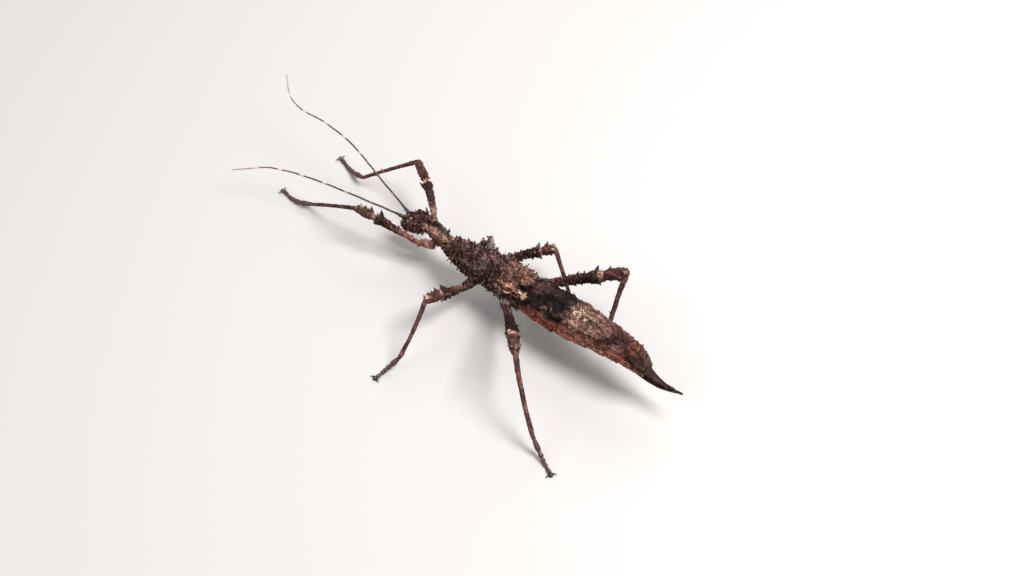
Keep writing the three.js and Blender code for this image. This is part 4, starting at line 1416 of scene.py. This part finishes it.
# %% Eyes
# The sink and the cut are measured from the eye's outermost point and its centre, in eye radii.
EYE_RADIUS = 0.74
EYE_SINK = 1.1
EYE_CUT = 0.45
EYE_SQUASH = (0.97, 1.08, 0.95)
EYE_DARK = paint(34, 24, 22)
EYE_PAINTED_HIGHLIGHT = paint(168, 136, 116)
for side, outer in (("left", 1), ("right", -1)):
    low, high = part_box(f"{side}_eye")
    outermost = high.x if outer > 0 else low.x
    centre_x = outermost - outer * EYE_SINK * EYE_RADIUS * MM
    centre = Vector((centre_x, (low.y + high.y) / 2, (low.z + high.z) / 2))
    gaze = np.array([0.84 * outer, -0.10, 0.53])
    put_down()
    size = {"radius": EYE_RADIUS * MM, "location": centre}
    bpy.ops.mesh.primitive_uv_sphere_add(segments=32, ring_count=16, **size)
    eye = bpy.context.object
    rename(eye, f"{side}_eye_dome")
    bpy.ops.object.transform_apply(location=True, rotation=True, scale=True)
    open_up(eye)
    cut = centre - Vector(gaze) * EYE_CUT * EYE_RADIUS * MM
    bpy.ops.mesh.bisect(plane_co=cut, plane_no=gaze, use_fill=True, clear_inner=True)
    bpy.ops.mesh.select_all(action="SELECT")
    bpy.ops.transform.resize(value=EYE_SQUASH, center_override=centre)
    bpy.ops.object.mode_set(mode="OBJECT")
    outwards = (rows(eye.data.vertices, "co") - np.array(centre)) @ gaze / (EYE_RADIUS * MM)
    # Painted highlight: the part of the dome that faces along the gaze is painted pale and made glossier.
    lit = soft_step(0.86, 0.96, outwards)
    write_markings(eye.data, two_tones(EYE_DARK, EYE_PAINTED_HIGHLIGHT, lit), lit)
    finished(eye, eye_facets, f"{side}_eye")

# %% [markdown]
# ## Mouth
# Under the forehead hang the upper lip, a pair of jaws and two pairs of short feelers, the palps. From
# above they are a dark knot in the shade of the head, so they are not modelled anew: the frame's own
# block is copied, and subdivision rounds it.

# %% Mouth
mouth = copy_of("mouthparts")
apply(mouth, "SUBSURF", levels=2, render_levels=2)
grain = lumps(body_points(mouth.data), 0.6, 2, 6)
write_markings(mouth.data, two_tones(BARK_DARK, BLUSH, 0.6 * soft_step(0, 0.5, grain)), 0.4)
rename(mouth, "mouth")
finished(mouth, horn_cuticle, "mouthparts")

# %% [markdown]
# ## Egg layer
# Two bare plates form the beak at the tail: a long keeled one below and a short one above. They are
# separate plates on the animal, so they stay separate here. Both are the frame's shapes, divided and
# smoothed, with fine streaks. The root of the upper one is widened and pushed under the last ring of the
# abdomen, so that no gap shows between them.

# %% Egg layer
PLATE_DARK = paint(46, 31, 28)
PLATE_PALE = paint(98, 70, 63)
ROOT_PUSH = np.array([0, -1.4, 0.55])
ROOT_WIDENING = 0.22
for node in ("egg_layer_lower", "egg_layer_upper"):
    plate = copy_of(node)
    apply(plate, "SUBSURF", levels=3, render_levels=3, subdivision_type="SIMPLE")
    apply(plate, "SMOOTH", factor=0.5, iterations=10)
    points = body_points(plate.data)
    if node == "egg_layer_upper":
        front = points[:, 1].min()
        root = 1 - soft_step(front + 0.5, front + 3.5, points[:, 1])
        points += root[:, None] * ROOT_PUSH
        points[:, 0] *= 1 + ROOT_WIDENING * root
        set_rows(plate.data, points)
    streaks = lumps(points * np.array([1, 0.35, 1]), 0.5, 2, 7)
    write_markings(plate.data, two_tones(PLATE_DARK, PLATE_PALE, soft_step(0.1, 0.8, streaks)), 0.35)
    rename(plate, node + "_plate")
    finished(plate, bark_cuticle, node)

# %% [markdown]
# ## Feet
# A foot has five joints with soft pads beneath, the first and last the longest, and ends in two claws
# with a pad between them. A smooth tube would hide the joints, so the foot is drawn out in swelling
# steps, laid along its path and kept above the floor. Claws and pad are drawn out in the same way and
# joined to it.

# %% Steps of a foot
FOOT_JOINTS = [0.34, 0.17, 0.13, 0.11, 0.25]
FOOT_RADIUS = 0.68
CLAW_STEPS = [(0.5, 0.24, 0), (0.55, 0.18, 0), (0.45, 0.11, 0), (0.3, 0.03, 0)]
PAD_STEPS = [(0.2, 0.45, 0), (0.35, 0.58, 0), (0.35, 0.50, 0), (0.2, 0.22, 0)]
FOOT_BROWN = paint(66, 43, 40)
FLOOR_GAP = 0.02


def foot_steps(length):
    """The steps of a foot: each joint narrows at its base and swells towards its end."""
    steps = []
    reached = 0.0
    for share in FOOT_JOINTS:
        joint = share * length
        radius = FOOT_RADIUS * (1.05 - 0.35 * reached)
        reached += share
        steps += [(joint * 0.08, radius * 0.72, 0), (joint * 0.35, radius * 0.9, 0)]
        steps += [(joint * 0.42, radius * 1.12, 0), (joint * 0.15, radius * 0.7, 0)]
    return steps


def drawn_along(name, sides, radius, steps, path):
    """A piece that is drawn out and laid along a path."""
    piece = drawn_out(name, sides, radius, steps)
    lay_along(piece, path)
    return piece


# %% Feet
for leg in LEGS:
    node = f"{leg}_tarsus"
    line = centreline(node, limb_line[f"{leg}_tibia"][1], 9)
    ahead = (line[-1] - line[-3]) * np.array([1, 1, 0])
    ahead /= np.linalg.norm(ahead)
    aside = np.array([-ahead[1], ahead[0], 0])
    path = line[:-1]
    end = path[-1]
    near_end = end - ahead * 0.1
    pieces = [drawn_along(node, 10, FOOT_RADIUS * 0.7, foot_steps(path_through(path)[1]), path)]
    for claw_side in (1, -1):
        outer = aside * claw_side
        bend = near_end + ahead * 0.55 + outer * 0.70 + UPWARDS * 0.2
        point = near_end + ahead * 0.75 + outer * 1.45 - UPWARDS * 0.15
        pieces.append(drawn_along("claw", 8, 0.22, CLAW_STEPS, [near_end, bend, point]))
    pad_path = [near_end, end + ahead * 0.4, end + ahead * 1.0 - UPWARDS * 0.1]
    pieces.append(drawn_along("pad", 8, 0.25, PAD_STEPS, pad_path))
    foot = join(pieces, f"{leg}_foot")
    apply(foot, "SUBSURF", levels=1, render_levels=1)
    points = body_points(foot.data)
    points[:, 2] = np.maximum(points[:, 2], FLOOR_GAP)
    set_rows(foot.data, points)
    colours = two_tones(FOOT_BROWN, LEG_BROWN, 0.8 * soft_step(0.0, 0.5, lumps(points, 0.5, 2, 9)))
    toe_colour = GREY if "fore" in leg else OXBLOOD
    colours = mix(colours, toe_colour, 0.7 * soft_step(-0.3, 0.3, (points - end) @ ahead))
    write_markings(foot.data, colours, 0.3)
    finished(foot, horn_cuticle, node)
